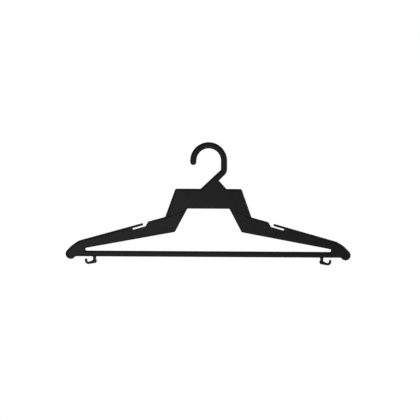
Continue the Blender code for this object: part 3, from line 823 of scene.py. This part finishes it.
class Shell:
    """Gathers the bands and flat covers of one closed piece as whole arrays."""

    def __init__(self):
        self.points = np.empty((0, 3))
        self.rubs = np.empty(0)
        self.faces = []

    def band(self, rings, rubs=0):
        """Closed rings of points, each joined to the next by four-sided faces between neighbours."""
        rows, around = rings.shape[:2]
        index = len(self.points) + np.arange(rows * around).reshape(rows, around)
        self.points = np.concatenate((self.points, rings.reshape(-1, 3)))
        self.rubs = np.concatenate((self.rubs, np.broadcast_to(rubs, (rows, around)).ravel()))
        beside = np.roll(index, -1, axis=1)
        faces = np.stack((index[:-1], beside[:-1], beside[1:], index[1:]), axis=-1)
        self.faces += faces.reshape(-1, 4).tolist()
        return index

    def cover(self, *loops):
        """A flat face over the first loop of point numbers, with the other loops left open, as triangles."""
        flat = [(self.points[loop] * (1, 0, 1))[:, (0, 2, 1)].tolist() for loop in loops]
        self.faces += np.concatenate(loops)[np.array(tessellate_polygon(flat))].tolist()

    def lid(self, loop):
        """One face over a loop of point numbers."""
        self.faces.append(loop.tolist())

    def piece(self, name, material):
        """The finished object, its faces turned outwards and its creases kept sharp."""
        mesh = bpy.data.meshes.new(name)
        mesh.from_pydata(self.points, [], self.faces)
        # Each point's share of the lighter edge colour: handling wear and a painted sheen
        mesh.attributes.new("edge_wear_and_sheen", "FLOAT", "POINT").data.foreach_set("value", self.rubs.astype(np.float32))
        shape = bmesh.new()
        shape.from_mesh(mesh)
        bmesh.ops.recalc_face_normals(shape, faces=shape.faces)
        shape.to_mesh(mesh)
        shape.free()
        mesh.shade_smooth()
        mesh.set_sharp_from_angle(angle=SHARP)
        mesh.materials.append(material)
        piece = bpy.data.objects.new(name, mesh)
        bpy.context.scene.collection.objects.link(piece)
        return piece


def quarter(radius):
    """A quarter circle as two rows: how far it is from the wall, and how far it has come from the face."""
    angles = np.linspace(0, QUARTER, FILLET_STEPS + 1)
    return radius * (1 - np.sin(angles)), radius * (1 - np.cos(angles))


def half_profile(edge, radius, half, lap_start):
    """Rows of (inset, way down, rub, lap) from a face round into the side wall and on to half depth.

    A quarter circle leads from the face into the wall, and a low ridge stands at half depth. The flat band
    beside the quarter circle keeps the face flat in shading. The lap is one over the middle of the wall,
    where a joint's tongue stands out or its groove lies. The third row is edge wear with a painted sheen:
    none on the face and the wall, most halfway round the quarter circle, and full on top of the ridge.
    """
    ridge = half - edge.ridge_width / 2
    stations = np.concatenate((quarter(radius)[1], (lap_start - SUPPORT, lap_start, ridge)))
    stations.sort()
    turned = np.minimum(stations, radius)
    aside = edge.ridge_height + radius - np.sqrt(radius**2 - (radius - turned) ** 2)
    inset = np.concatenate(((aside[0] + edge.border, aside[0] + SUPPORT), aside, (0,)))
    down = np.concatenate(((0, 0), stations, (half,)))
    edge_wear_and_sheen = np.concatenate(((0, 0), np.sin(math.pi * turned / radius), (1,)))
    return np.stack((inset, down, edge_wear_and_sheen, down >= lap_start))


def edge_profile(edge, front, depth, lap_depth):
    """Rows of (inset, y, rub, lap) from the front face round the side wall to the back face."""
    half = depth / 2
    near, far = (half_profile(edge, radius, half, half - lap_depth / 2) for radius in (front, edge.back))
    near[1] -= half
    far[1] = half - far[1]
    return np.concatenate((near, far[:, -2::-1]), axis=1)


def pocket_profile(back, depth):
    """Rows of (inset, y) from the back face over the lip, down the drafted wall and round into the floor."""
    half = depth / 2
    floor = back.skin - half
    aside, down = quarter(back.lip)
    lip_inset = np.concatenate(((-aside[0] - SUPPORT,), -aside, (0,)))
    lip_y = half - np.concatenate(((0,), down, (back.lip + SUPPORT,)))
    up, along = quarter(back.fillet)
    foot_inset = back.draft + np.concatenate(((0,), along, (back.fillet + SUPPORT,)))
    foot_y = floor + np.concatenate(((back.fillet + SUPPORT,), up, (0,)))
    return np.concatenate((lip_inset, foot_inset)), np.concatenate((lip_y, foot_y))


def carried(points, ways, inset, y):
    """A profile carried along an outline: each point moved by the inset along its mitre, at depth y."""
    return in_space(points[None] + inset[:, None, None] * ways[None], y[:, None])


def middle_of(points):
    """The centroid of a closed outline, from the areas of the triangles between its edges and the origin."""
    following = np.roll(points, -1, axis=0)
    areas = points[:, 0] * following[:, 1] - following[:, 0] * points[:, 1]
    return ((points + following) * areas[:, None]).sum(axis=0) / (3 * areas.sum())


def round_well(shell, centre, rings):
    """A round dent: circles of (radius, y), the last one covered. Returns the first circle."""
    radii, depths = np.array(rings).T
    index = shell.band(in_space(circles(centre, radii, WELL_POINTS), depths[:, None]))
    shell.cover(index[-1])
    return index[0]


def sink_pocket(shell, polygon, back, depth):
    """A pocket sunk from the back, with a round ejector mark in its floor. Returns the loop of its mouth."""
    outline = divided(outlined([(corner, back.corner) for corner in polygon]), WIDE_SPACING)
    inset, y = pocket_profile(back, depth)
    index = shell.band(carried(outline, mitres(outline, np.ones(len(outline))), inset, y))
    floor = shell.points[index[-1]][:, (0, 2)]
    centre = middle_of(floor)
    inward = left_of(unit(np.roll(floor, -1, axis=0) - floor))
    radius = min(back.mark_radius, MARK_ROOM * ((centre - floor) * inward).sum(axis=1).min())
    dent = back.mark_depth
    rings = ((radius, y[-1]), (radius - dent / 2, y[-1] - dent), (radius - dent, y[-1] - dent))
    shell.cover(index[-1], round_well(shell, centre, rings))
    return index[0]


def moulded_plate(settings, node, rim, side=1, pockets=(), wells=(), profile=None):
    """A flat moulding: an edge profile carried round a rim, closed by a flat front and a back.

    The middle of the wall moves by the rim's reaches. The edge wear and painted sheen on an edge grow with
    how far it faces up. The back is left open over its pockets and wells.
    """
    if profile is None:
        edge = settings.edge
        profile = edge_profile(edge, edge.front, edge.depth, settings.joint.tongue_depth)
    inset, y, edge_wear_and_sheen, lap = profile
    outline = sided(side, rim.points)
    ways = mitres(outline, sided_edges(side, rim.shares))
    rings = carried(outline, ways, inset, y)
    rings[..., (0, 2)] -= lap[:, None, None] * mitres(outline, sided_edges(side, rim.reaches))
    # Edges facing up get more of the lighter colour, a painted sheen from light above on top of the wear
    upward = np.clip(-unit(ways + TINY)[:, 1], 0, 1)
    shell = Shell()
    index = shell.band(rings, edge_wear_and_sheen[:, None] * (SIDEWAYS_WEAR_AND_SHEEN + (1 - SIDEWAYS_WEAR_AND_SHEEN) * upward))
    shell.cover(index[0])
    mouths = [sink_pocket(shell, sided(side, pocket), settings.back, 2 * y[-1]) for pocket in pockets]
    mouths += [round_well(shell, centre, well) for centre, well in wells]
    shell.cover(index[-1], *mouths)
    return shell.piece(node + "_moulding", satin_plastic(settings.plastic))


def quarter_sections(widths, radii, edge):
    """Quarters of rounded rectangles, from the ridge at the side's half depth to the middle of the back."""
    half = widths[:, None] / 2
    side = half - edge.ridge_height
    radius = radii[:, None]
    up, along = quarter(radius)
    none = np.zeros_like(half)
    back = none + edge.depth / 2
    ridge = none + edge.ridge_width / 2
    across = (half, side, side, side - along, side - radius - SUPPORT, none)
    behind = (none, ridge, back - radius - SUPPORT, back - up, back, back)
    return np.stack((np.concatenate(across, axis=1), np.concatenate(behind, axis=1)), axis=-1)


def hook_sections(widths, back_radii, edge):
    """Rounded rectangles, one for each width: quarters for the back and the front, each mirrored."""
    behind = quarter_sections(widths, back_radii, edge)
    before = quarter_sections(widths, np.full_like(widths, edge.front), edge)
    corners = (behind, behind[:, -2::-1] * (-1, 1), before[:, 1:] * (-1, -1), before[:, -2:0:-1] * (1, -1))
    return np.concatenate(corners, axis=1)


# Plastic and paint, built from sums of shader sockets


def math_method(operation, reflected=False):
    """A method of Signal that adds the Math node of an operation on the signal and another value."""

    def result(self, other):
        first, second = (other, self) if reflected else (self, other)
        return self.node("ShaderNodeMath", {"operation": operation}, _0=first, _1=second)

    return result


class Signal:
    """A socket of a node tree that takes part in sums; each operator adds the Math node it stands for."""

    __add__, __radd__ = math_method("ADD"), math_method("ADD", True)
    __sub__, __rsub__ = math_method("SUBTRACT"), math_method("SUBTRACT", True)
    __mul__, __rmul__ = math_method("MULTIPLY"), math_method("MULTIPLY", True)

    def __init__(self, tree, socket=None):
        self.tree = tree
        self.socket = socket

    def node(self, kind, settings=None, output=0, **inputs):
        """A new node of a kind, its settings put in before the values or links of its named sockets."""
        made = self.tree.nodes.new(kind)
        for key, value in (settings or {}).items():
            setattr(made, key, value)
        for key, value in inputs.items():
            socket = made.inputs[int(key[1:])] if key[0] == "_" else made.inputs[key.replace("_", " ")]
            if isinstance(value, Signal):
                value.into(socket)
            else:
                socket.default_value = value
        return Signal(self.tree, made.outputs[output])

    def into(self, socket):
        """Links the signal to a socket of another node."""
        self.tree.links.new(self.socket, socket)

    def between(self, low, high):
        """The value's place between two levels, eased at both ends, from none to all."""
        settings = {"interpolation_type": "SMOOTHSTEP"}
        return self.node("ShaderNodeMapRange", settings, Value=self, From_Min=low, From_Max=high)


def noise(place, size, detail, roughness=0.5):
    """Soft noise with lumps of a size in metres."""
    return place.node("ShaderNodeTexNoise", Vector=place, Scale=1 / size, Detail=detail, Roughness=roughness)


def scaled(paint, factor):
    """A colour times a factor, which is a signal."""
    return factor.node("ShaderNodeVectorMath", {"operation": "SCALE"}, _0=paint, _3=factor)


def new_material(name):
    """A material, its tree's first signal, its Principled shader and the place on the object."""
    material = bpy.data.materials.new(name)
    material.use_nodes = True
    start = Signal(material.node_tree)
    place = start.node("ShaderNodeTexCoord", output="Object")
    return material, start, material.node_tree.nodes["Principled BSDF"], place


def satin_plastic(finish):
    """Satin black plastic with fine grain, soft flow clouds, and edges polished by handling with a painted
    sheen.

    Colour goes from the base to the lighter edge colour by the mesh's mask of handling wear and painted
    sheen, broken up by noise. Roughness follows the same mask and the clouds. The grain and a slow waviness
    are heights for the normal.
    """
    name = "satin_black_plastic"
    if name in bpy.data.materials:
        return bpy.data.materials[name]
    material, start, shader, place = new_material(name)
    # The mesh's edge mask: handling wear together with a painted sheen, lighter in colour and less rough
    edge_wear_and_sheen = start.node("ShaderNodeAttribute", {"attribute_name": "edge_wear_and_sheen"}, output="Fac")
    clouds = noise(place, finish.flow, 3) - 0.5
    drawn_out = (finish.streak_squeeze, 1, 1)
    streaked = place.node("ShaderNodeMapping", {"vector_type": "POINT"}, Vector=place, Scale=drawn_out)
    streaks = noise(streaked, finish.streak, 2) - 0.5
    grain = noise(place, finish.grain, 2, 0.6)
    wear_and_sheen_patches = noise(place, finish.scuff, 3, 0.65).between(finish.scuff_low, finish.scuff_high)
    wear_and_sheen = edge_wear_and_sheen * (finish.even_wear + (1 - finish.even_wear) * wear_and_sheen_patches)
    tone = 1 + finish.flow_share * (2 * clouds + streaks) + finish.grain_share * (grain - 0.5)
    base, worn = (*finish.base, 1), (*finish.worn, 1)
    shade = place.node("ShaderNodeMix", {"data_type": "RGBA"}, output=2, _0=wear_and_sheen, _6=base, _7=worn)
    rough = finish.roughness + finish.cloud_roughness * clouds + finish.streak_roughness * streaks
    rough = rough + finish.grain_roughness * (grain - 0.5) - (finish.roughness - finish.polished) * wear_and_sheen
    waves = noise(place, finish.wave, 1)
    waviness = place.node("ShaderNodeBump", Strength=0.5, Distance=finish.wave_depth, Height=waves)
    depth = finish.grain_depth
    normal = place.node("ShaderNodeBump", Strength=1, Distance=depth, Height=grain, Normal=waviness)
    scaled(shade, tone).into(shader.inputs["Base Color"])
    rough.into(shader.inputs["Roughness"])
    normal.into(shader.inputs["Normal"])
    shader.inputs["IOR"].default_value = finish.refraction
    shader.inputs["Specular IOR Level"].default_value = finish.gloss
    return material


def pale_paint(studio):
    """Pale matt paint that keeps shadows and fades into the white surroundings towards its rim."""
    material, start, shader, place = new_material("pale_matt_paint")
    shader.inputs["Roughness"].default_value = studio.floor_roughness
    tone = 1 + studio.mottle_share * (noise(place, studio.mottle, 3) - 0.5)
    scaled((*studio.floor,), tone).into(shader.inputs["Base Color"])
    reach = place.node("ShaderNodeVectorMath", {"operation": "LENGTH"}, output="Value", _0=place)
    rim = reach.between(studio.floor_drop, math.hypot(studio.floor_drop, studio.floor_radius))
    white = place.node("ShaderNodeEmission", Color=WHITE, Strength=1)
    share = (direct_rays(start) + ray(start, "Glossy")) * (studio.veil + (1 - studio.veil) * rim)
    mixed = place.node("ShaderNodeMixShader", _0=share, _1=Signal(start.tree, shader.outputs[0]), _2=white)
    mixed.into(start.tree.nodes["Material Output"].inputs["Surface"])
    return material


def ray(start, kind):
    """One for the rays of a kind, and none for the others."""
    return start.node("ShaderNodeLightPath", output=f"Is {kind} Ray")


def direct_rays(start):
    """One for the camera's rays and for those that pass through glass."""
    return ray(start, "Camera") + ray(start, "Transmission")


# Operators, one for each piece or group of like pieces and one for the studio


SIDES = ((-1, "left"), (1, "right"))
WHITE = (1, 1, 1, 1)
STEM_STEPS, SLANT_STEPS, TIP_RINGS = 5, 13, 11  # steps along the hook's straight parts and round tip
TIP_START = 0.02  # angle of the smallest ring of the round tip
SADDLE_REACH = 0.012  # how far the rail's wear reaches from the origin
SADDLE_WEAR, SIDE_WEAR = 0.9, 0.35  # strongest wear on the hook
SIDE_POWER = 6  # how closely the wear keeps to the hook's sides
GATE_BEVEL = 0.0001  # width of the gate's bevelled lip
# The gate's rings, each as shares of its radius and of its depth
GATE_RINGS = ((0.8, 1), (0.3, 1), (0.26, 0.25), (0.2, 0.2))
FLOOR_LIP = 0.006  # radius of the studio floor's rim
FLOOR_RINGS, FLOOR_POINTS = 24, 96  # circles of the floor and points of each
FLOOR_MIDDLE = 0.02  # share of the floor's radius in its smallest circle
SOFT_FADE = (-0.2, 0.9)  # where the soft light starts and stops to grow


def put(piece, node, bend=None):
    """Puts a piece in the place of its CAD node, which is hidden.

    It rides on the hanger, or, when given a bend, only has its place baked into its mesh.
    """
    if bend:
        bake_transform(piece)
    else:
        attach(piece, "hanger")
    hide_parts(node)


class HANGER_OT_hook(Operator):
    """Moulds the hook: rounded rectangles carried along its path, closed by a round tip and a flat foot."""

    bl_idname = "hanger.hook"
    bl_label = "Hook"

    def execute(self, context):
        settings = context.scene.hanger
        plan = Layout(settings)
        hook, edge = settings.hook, settings.edge
        start = plan.hook_centre - at(plan.hook_radius, hook.lip_drop)
        loop = arc(plan.hook_centre, plan.hook_radius, math.pi, 0)
        bend = rounding(loop[-1], plan.hook_bend, plan.hook_foot, hook.bend_radius)
        stem_shares = np.linspace(0, 1, STEM_STEPS + 1)[1:-1, None]
        slant_shares = np.linspace(0, 1, SLANT_STEPS + 1)[1:, None]
        stem = loop[-1] + stem_shares * (bend[0] - loop[-1])
        slant = bend[-1] + slant_shares * (plan.hook_end - bend[-1])
        path = np.concatenate(((start,), loop, stem, bend, slant))
        ways = unit(np.gradient(path, axis=0))
        ways[0] = UP
        ways[-len(slant) - 1:] = plan.slant_way
        foot = np.zeros(len(path))
        foot[-len(slant):] = slant_shares[:, 0]
        widths = hook.thickness + foot * (hook.foot_width - hook.thickness)
        eased = foot**2 * (3 - 2 * foot)
        sections = hook_sections(widths, edge.front + eased * (edge.back - edge.front), edge)

        swell = np.linspace(TIP_START, QUARTER, TIP_RINGS + 1)[:-1]
        tip_path = start - np.cos(swell)[:, None] * hook.thickness / 2 * UP
        path = np.concatenate((tip_path, path))
        ways = np.concatenate((np.broadcast_to(UP, tip_path.shape), ways))
        sections = np.concatenate((np.sin(swell)[:, None, None] * sections[:1], sections))
        flat = path[:, None] + sections[..., :1] * left_of(ways)[:, None]

        saddle = np.clip(1 - np.hypot(flat[..., 0], flat[..., 1]) / SADDLE_REACH, 0, 1)
        sides = np.abs(sections[..., 0]) / (hook.thickness / 2)
        shell = Shell()
        wear_and_sheen = np.clip(SIDE_WEAR * sides**SIDE_POWER + SADDLE_WEAR * saddle, 0, 1)
        index = shell.band(in_space(flat, sections[..., 1]), wear_and_sheen)
        shell.lid(index[0])
        shell.lid(index[-1])
        put(shell.piece("hook_moulding", satin_plastic(settings.plastic)), "hook")
        return {"FINISHED"}


class HANGER_OT_bridge(Operator):
    """Moulds the bridge with its gusset: an edge profile carried round its outline, with pockets behind."""

    bl_idname = "hanger.bridge"
    bl_label = "Bridge"

    def execute(self, context):
        settings = context.scene.hanger
        plan = Layout(settings)
        joint, edge, back = settings.joint, settings.edge, settings.back
        inner, elbow, outer = plan.seam(joint.gap / 2)
        joints = [(inner, elbow), (elbow, outer)]
        joints += [(end * MIRROR, start * MIRROR) for start, end in joints]
        seat = plan.hook_end - joint.overlap * plan.slant_way
        flush = [(seat + plan.foot_across, seat - plan.foot_across)]
        rim = Rim(plan.bridge_outline(), SPACING, flush, joints)
        corners = [(plan.bridge_corner, ROOM * settings.bridge.corner_radius)]
        corners.append((plan.shoulder, ROOM * joint.end_depth))
        rim.narrow(edge, corners + [(place * MIRROR, width) for place, width in corners])
        rim.join(edge.seam, -joint.tongue_reach)
        pockets = [sided(side, pocket) for side, _ in SIDES for pocket in plan.bridge_pockets()]
        radius, down, top = back.gate_radius, back.gate_depth, edge.depth / 2
        gate = at(2 * radius, plan.bridge_top + radius)
        well = [(radius + GATE_BEVEL, top), (radius, top - GATE_BEVEL)]
        well += [(width * radius, top - share * down) for width, share in GATE_RINGS]
        profile = edge_profile(edge, edge.front, edge.depth, joint.tongue_depth + joint.gap)
        put(moulded_plate(settings, "bridge", rim, 1, pockets, [(gate, well)], profile), "bridge")
        return {"FINISHED"}


class HANGER_OT_arms(Operator):
    """Moulds both arms: an edge profile carried round the outline with its notch, with pockets behind."""

    bl_idname = "hanger.arms"
    bl_label = "Arms"

    def execute(self, context):
        settings = context.scene.hanger
        plan = Layout(settings)
        edge, joint, notch = settings.edge, settings.joint, settings.notch
        inner, elbow, outer = plan.seam(-joint.gap / 2)
        flush = [(at(plan.bar_half, plan.bar_top), at(plan.bar_half, plan.bar_bottom))]
        flush.append((plan.on_arm(plan.finger_root, 0), plan.on_arm(plan.finger_root, notch.finger)))
        plain = [(inner, inner + joint.clear_stretch * plan.leg_way)]
        rim = Rim(plan.arm_outline(), SPACING, flush, [(inner, elbow), (elbow, outer)], plain)
        rim.shares = plan.notch_shares(rim.middles())
        corners = [(plan.leg_corner, ROOM * settings.arm.leg_radius)]
        corners.append((plan.shoulder, ROOM * joint.end_depth))
        rim.narrow(edge, corners)
        rim.join(edge.seam, joint.tongue_reach)
        for side, word in SIDES:
            node = word + "_arm"
            put(moulded_plate(settings, node, rim, side, plan.arm_pockets()), node)
        return {"FINISHED"}


class HANGER_OT_strap_fingers(Operator):
    """Moulds both strap fingers, each a thin strip from its root to its half-round tip."""

    bl_idname = "hanger.strap_fingers"
    bl_label = "Strap fingers"

    def execute(self, context):
        settings = context.scene.hanger
        plan = Layout(settings)
        notch = settings.notch
        root = plan.finger_root + settings.joint.overlap
        flush = [(plan.on_arm(root, notch.finger), plan.on_arm(root, 0))]
        rim = Rim(plan.finger_outline(), FINE_SPACING, flush, share=settings.edge.thin_share)
        rim.join()
        fixed = plan.on_arm(plan.finger_root, notch.finger / 2)
        free = plan.on_arm(plan.finger_start, notch.finger / 2)
        for side, word in SIDES:
            node = word + "_strap_finger"
            start, end = ((side * x, 0, z) for x, z in (fixed, free))
            put(moulded_plate(settings, node, rim, side), node, (word + "_finger", start, end))
        return {"FINISHED"}


class HANGER_OT_trouser_bar(Operator):
    """Moulds the trouser bar: an edge profile carried round a long rectangle, with pockets behind."""

    bl_idname = "hanger.trouser_bar"
    bl_label = "Trouser bar"

    def execute(self, context):
        settings = context.scene.hanger
        plan = Layout(settings)
        corners = plan.bar_outline()
        rim = Rim(corners, WIDE_SPACING, [(corners[1], corners[2]), (corners[3], corners[0])])
        rim.join()
        put(moulded_plate(settings, "trouser_bar", rim, 1, plan.bar_pockets()), "trouser_bar")
        return {"FINISHED"}


class HANGER_OT_skirt_hooks(Operator):
    """Moulds both skirt hooks: an edge profile carried round the stem, the heel and the open cup."""

    bl_idname = "hanger.skirt_hooks"
    bl_label = "Skirt hooks"

    def execute(self, context):
        settings = context.scene.hanger
        plan = Layout(settings)
        size = settings.skirt_hook
        outline = plan.skirt_hook_outline()
        rim = Rim(outline, flush=[(outline[-1], outline[0])])
        rim.join()
        profile = edge_profile(settings.edge, size.front, size.depth, settings.joint.tongue_depth)
        for side, word in SIDES:
            node = word + "_skirt_hook"
            put(moulded_plate(settings, node, rim, side, profile=profile), node)
        return {"FINISHED"}


class HANGER_OT_studio(Operator):
    """Sets the pale floor, the soft lamps, the white surroundings and the camera."""

    bl_idname = "hanger.studio"
    bl_label = "Studio"

    def execute(self, context):
        studio = context.scene.hanger.studio
        self.set_floor(studio)
        self.set_world(studio)
        self.add_lamp("key_lamp", studio.key_spot, studio.lamp_aim, studio.key_width, studio.key_power)
        self.add_lamp("side_lamp", studio.side_spot, studio.lamp_aim, studio.side_width, studio.side_power)
        self.add_lamp("back_lamp", studio.back_spot, studio.lamp_aim, studio.back_width, studio.back_power)
        self.set_camera(studio)
        context.scene.view_settings.view_transform = "Standard"
        return {"FINISHED"}

    def set_floor(self, studio):
        """A round floor: circles at one height, its rim turned down in a quarter circle."""
        aside, down = quarter(FLOOR_LIP)
        inner = studio.floor_radius * np.linspace(FLOOR_MIDDLE, 1, FLOOR_RINGS)
        radii = np.concatenate((inner, studio.floor_radius + FLOOR_LIP - aside))
        height = -studio.floor_drop - np.concatenate((np.zeros(FLOOR_RINGS), down))
        shell = Shell()
        rings = in_space(circles(0, radii, FLOOR_POINTS), height[:, None])
        shell.lid(shell.band(rings[..., (0, 2, 1)])[0])
        floor = shell.piece("floor", pale_paint(studio))

    def set_world(self, studio):
        """White behind the hanger for direct and mirrored rays, and plain soft light that is dim in front.

        The soft light changes with the Y part of a ray's direction, plus the lean times its X part, less the
        dip times its Z part.
        """
        world = bpy.data.worlds.new("white_studio")
        world.use_nodes = True
        bpy.context.scene.world = world
        start = Signal(world.node_tree)
        way = start.node("ShaderNodeTexCoord", output="Generated")
        weights = (studio.lean, 1, -studio.dip)
        product = {"operation": "DOT_PRODUCT"}
        turned = start.node("ShaderNodeVectorMath", product, "Value", _0=way, _1=weights)
        behind = turned.between(*SOFT_FADE)
        front, rear, white = (
            start.node("ShaderNodeBackground", Color=WHITE, Strength=strength)
            for strength in (studio.front, studio.rear, 1)
        )
        soft = start.node("ShaderNodeMixShader", _0=behind, _1=front, _2=rear)
        share = direct_rays(start) + ray(start, "Glossy") * behind
        mixed = start.node("ShaderNodeMixShader", _0=share, _1=soft, _2=white)
        mixed.into(start.tree.nodes["World Output"].inputs["Surface"])

    def add_lamp(self, name, place, target, size, power):
        """A soft square lamp that faces a target and isn't seen by the camera."""
        lamp = bpy.data.lights.new(name, "AREA")
        lamp.size = size
        lamp.energy = power
        holder = bpy.data.objects.new(name, lamp)
        holder.location = place
        holder.rotation_euler = (Vector(target) - Vector(place)).to_track_quat("-Z", "Y").to_euler()
        holder.visible_camera = False
        bpy.context.scene.collection.objects.link(holder)

    def set_camera(self, studio):
        """A long lens level with the middle of the view, looking along +Y, turned by the roll."""
        lens = bpy.data.cameras.new("camera")
        lens.lens = lens.sensor_width * studio.camera_distance / studio.view_width
        camera = bpy.data.objects.new("camera", lens)
        camera.location = (studio.view_x, -studio.camera_distance, studio.view_z)
        camera.rotation_euler = (QUARTER, studio.view_roll, 0)
        bpy.context.scene.collection.objects.link(camera)
        bpy.context.scene.camera = camera


OPERATORS = (
    HANGER_OT_hook,
    HANGER_OT_bridge,
    HANGER_OT_arms,
    HANGER_OT_strap_fingers,
    HANGER_OT_trouser_bar,
    HANGER_OT_skirt_hooks,
    HANGER_OT_studio,
)


class HANGER_PT_panel(Panel):
    """Lists the operators in the sidebar of the 3D view."""

    bl_idname = "HANGER_PT_panel"
    bl_label = "Clothes hanger"
    bl_space_type = "VIEW_3D"
    bl_region_type = "UI"
    bl_category = "Hanger"

    def draw(self, context):
        for operator in OPERATORS:
            self.layout.operator(operator.bl_idname)


CLASSES = (*GROUPS.values(), HangerSettings, *OPERATORS, HANGER_PT_panel)


def register():
    """Registers every class, with each setting named after its identifier."""
    for group in GROUPS.values():
        for key, made in group.__annotations__.items():
            made.keywords["name"] = key.replace("_", " ").capitalize()
    for made in CLASSES:
        bpy.utils.register_class(made)
    bpy.types.Scene.hanger = PointerProperty(type=HangerSettings)


def unregister():
    del bpy.types.Scene.hanger
    for made in reversed(CLASSES):
        bpy.utils.unregister_class(made)


def main():
    register()
    for operator in OPERATORS:
        group, name = operator.bl_idname.split(".")
        getattr(getattr(bpy.ops, group), name)()


if __name__ == "__main__":
    main()
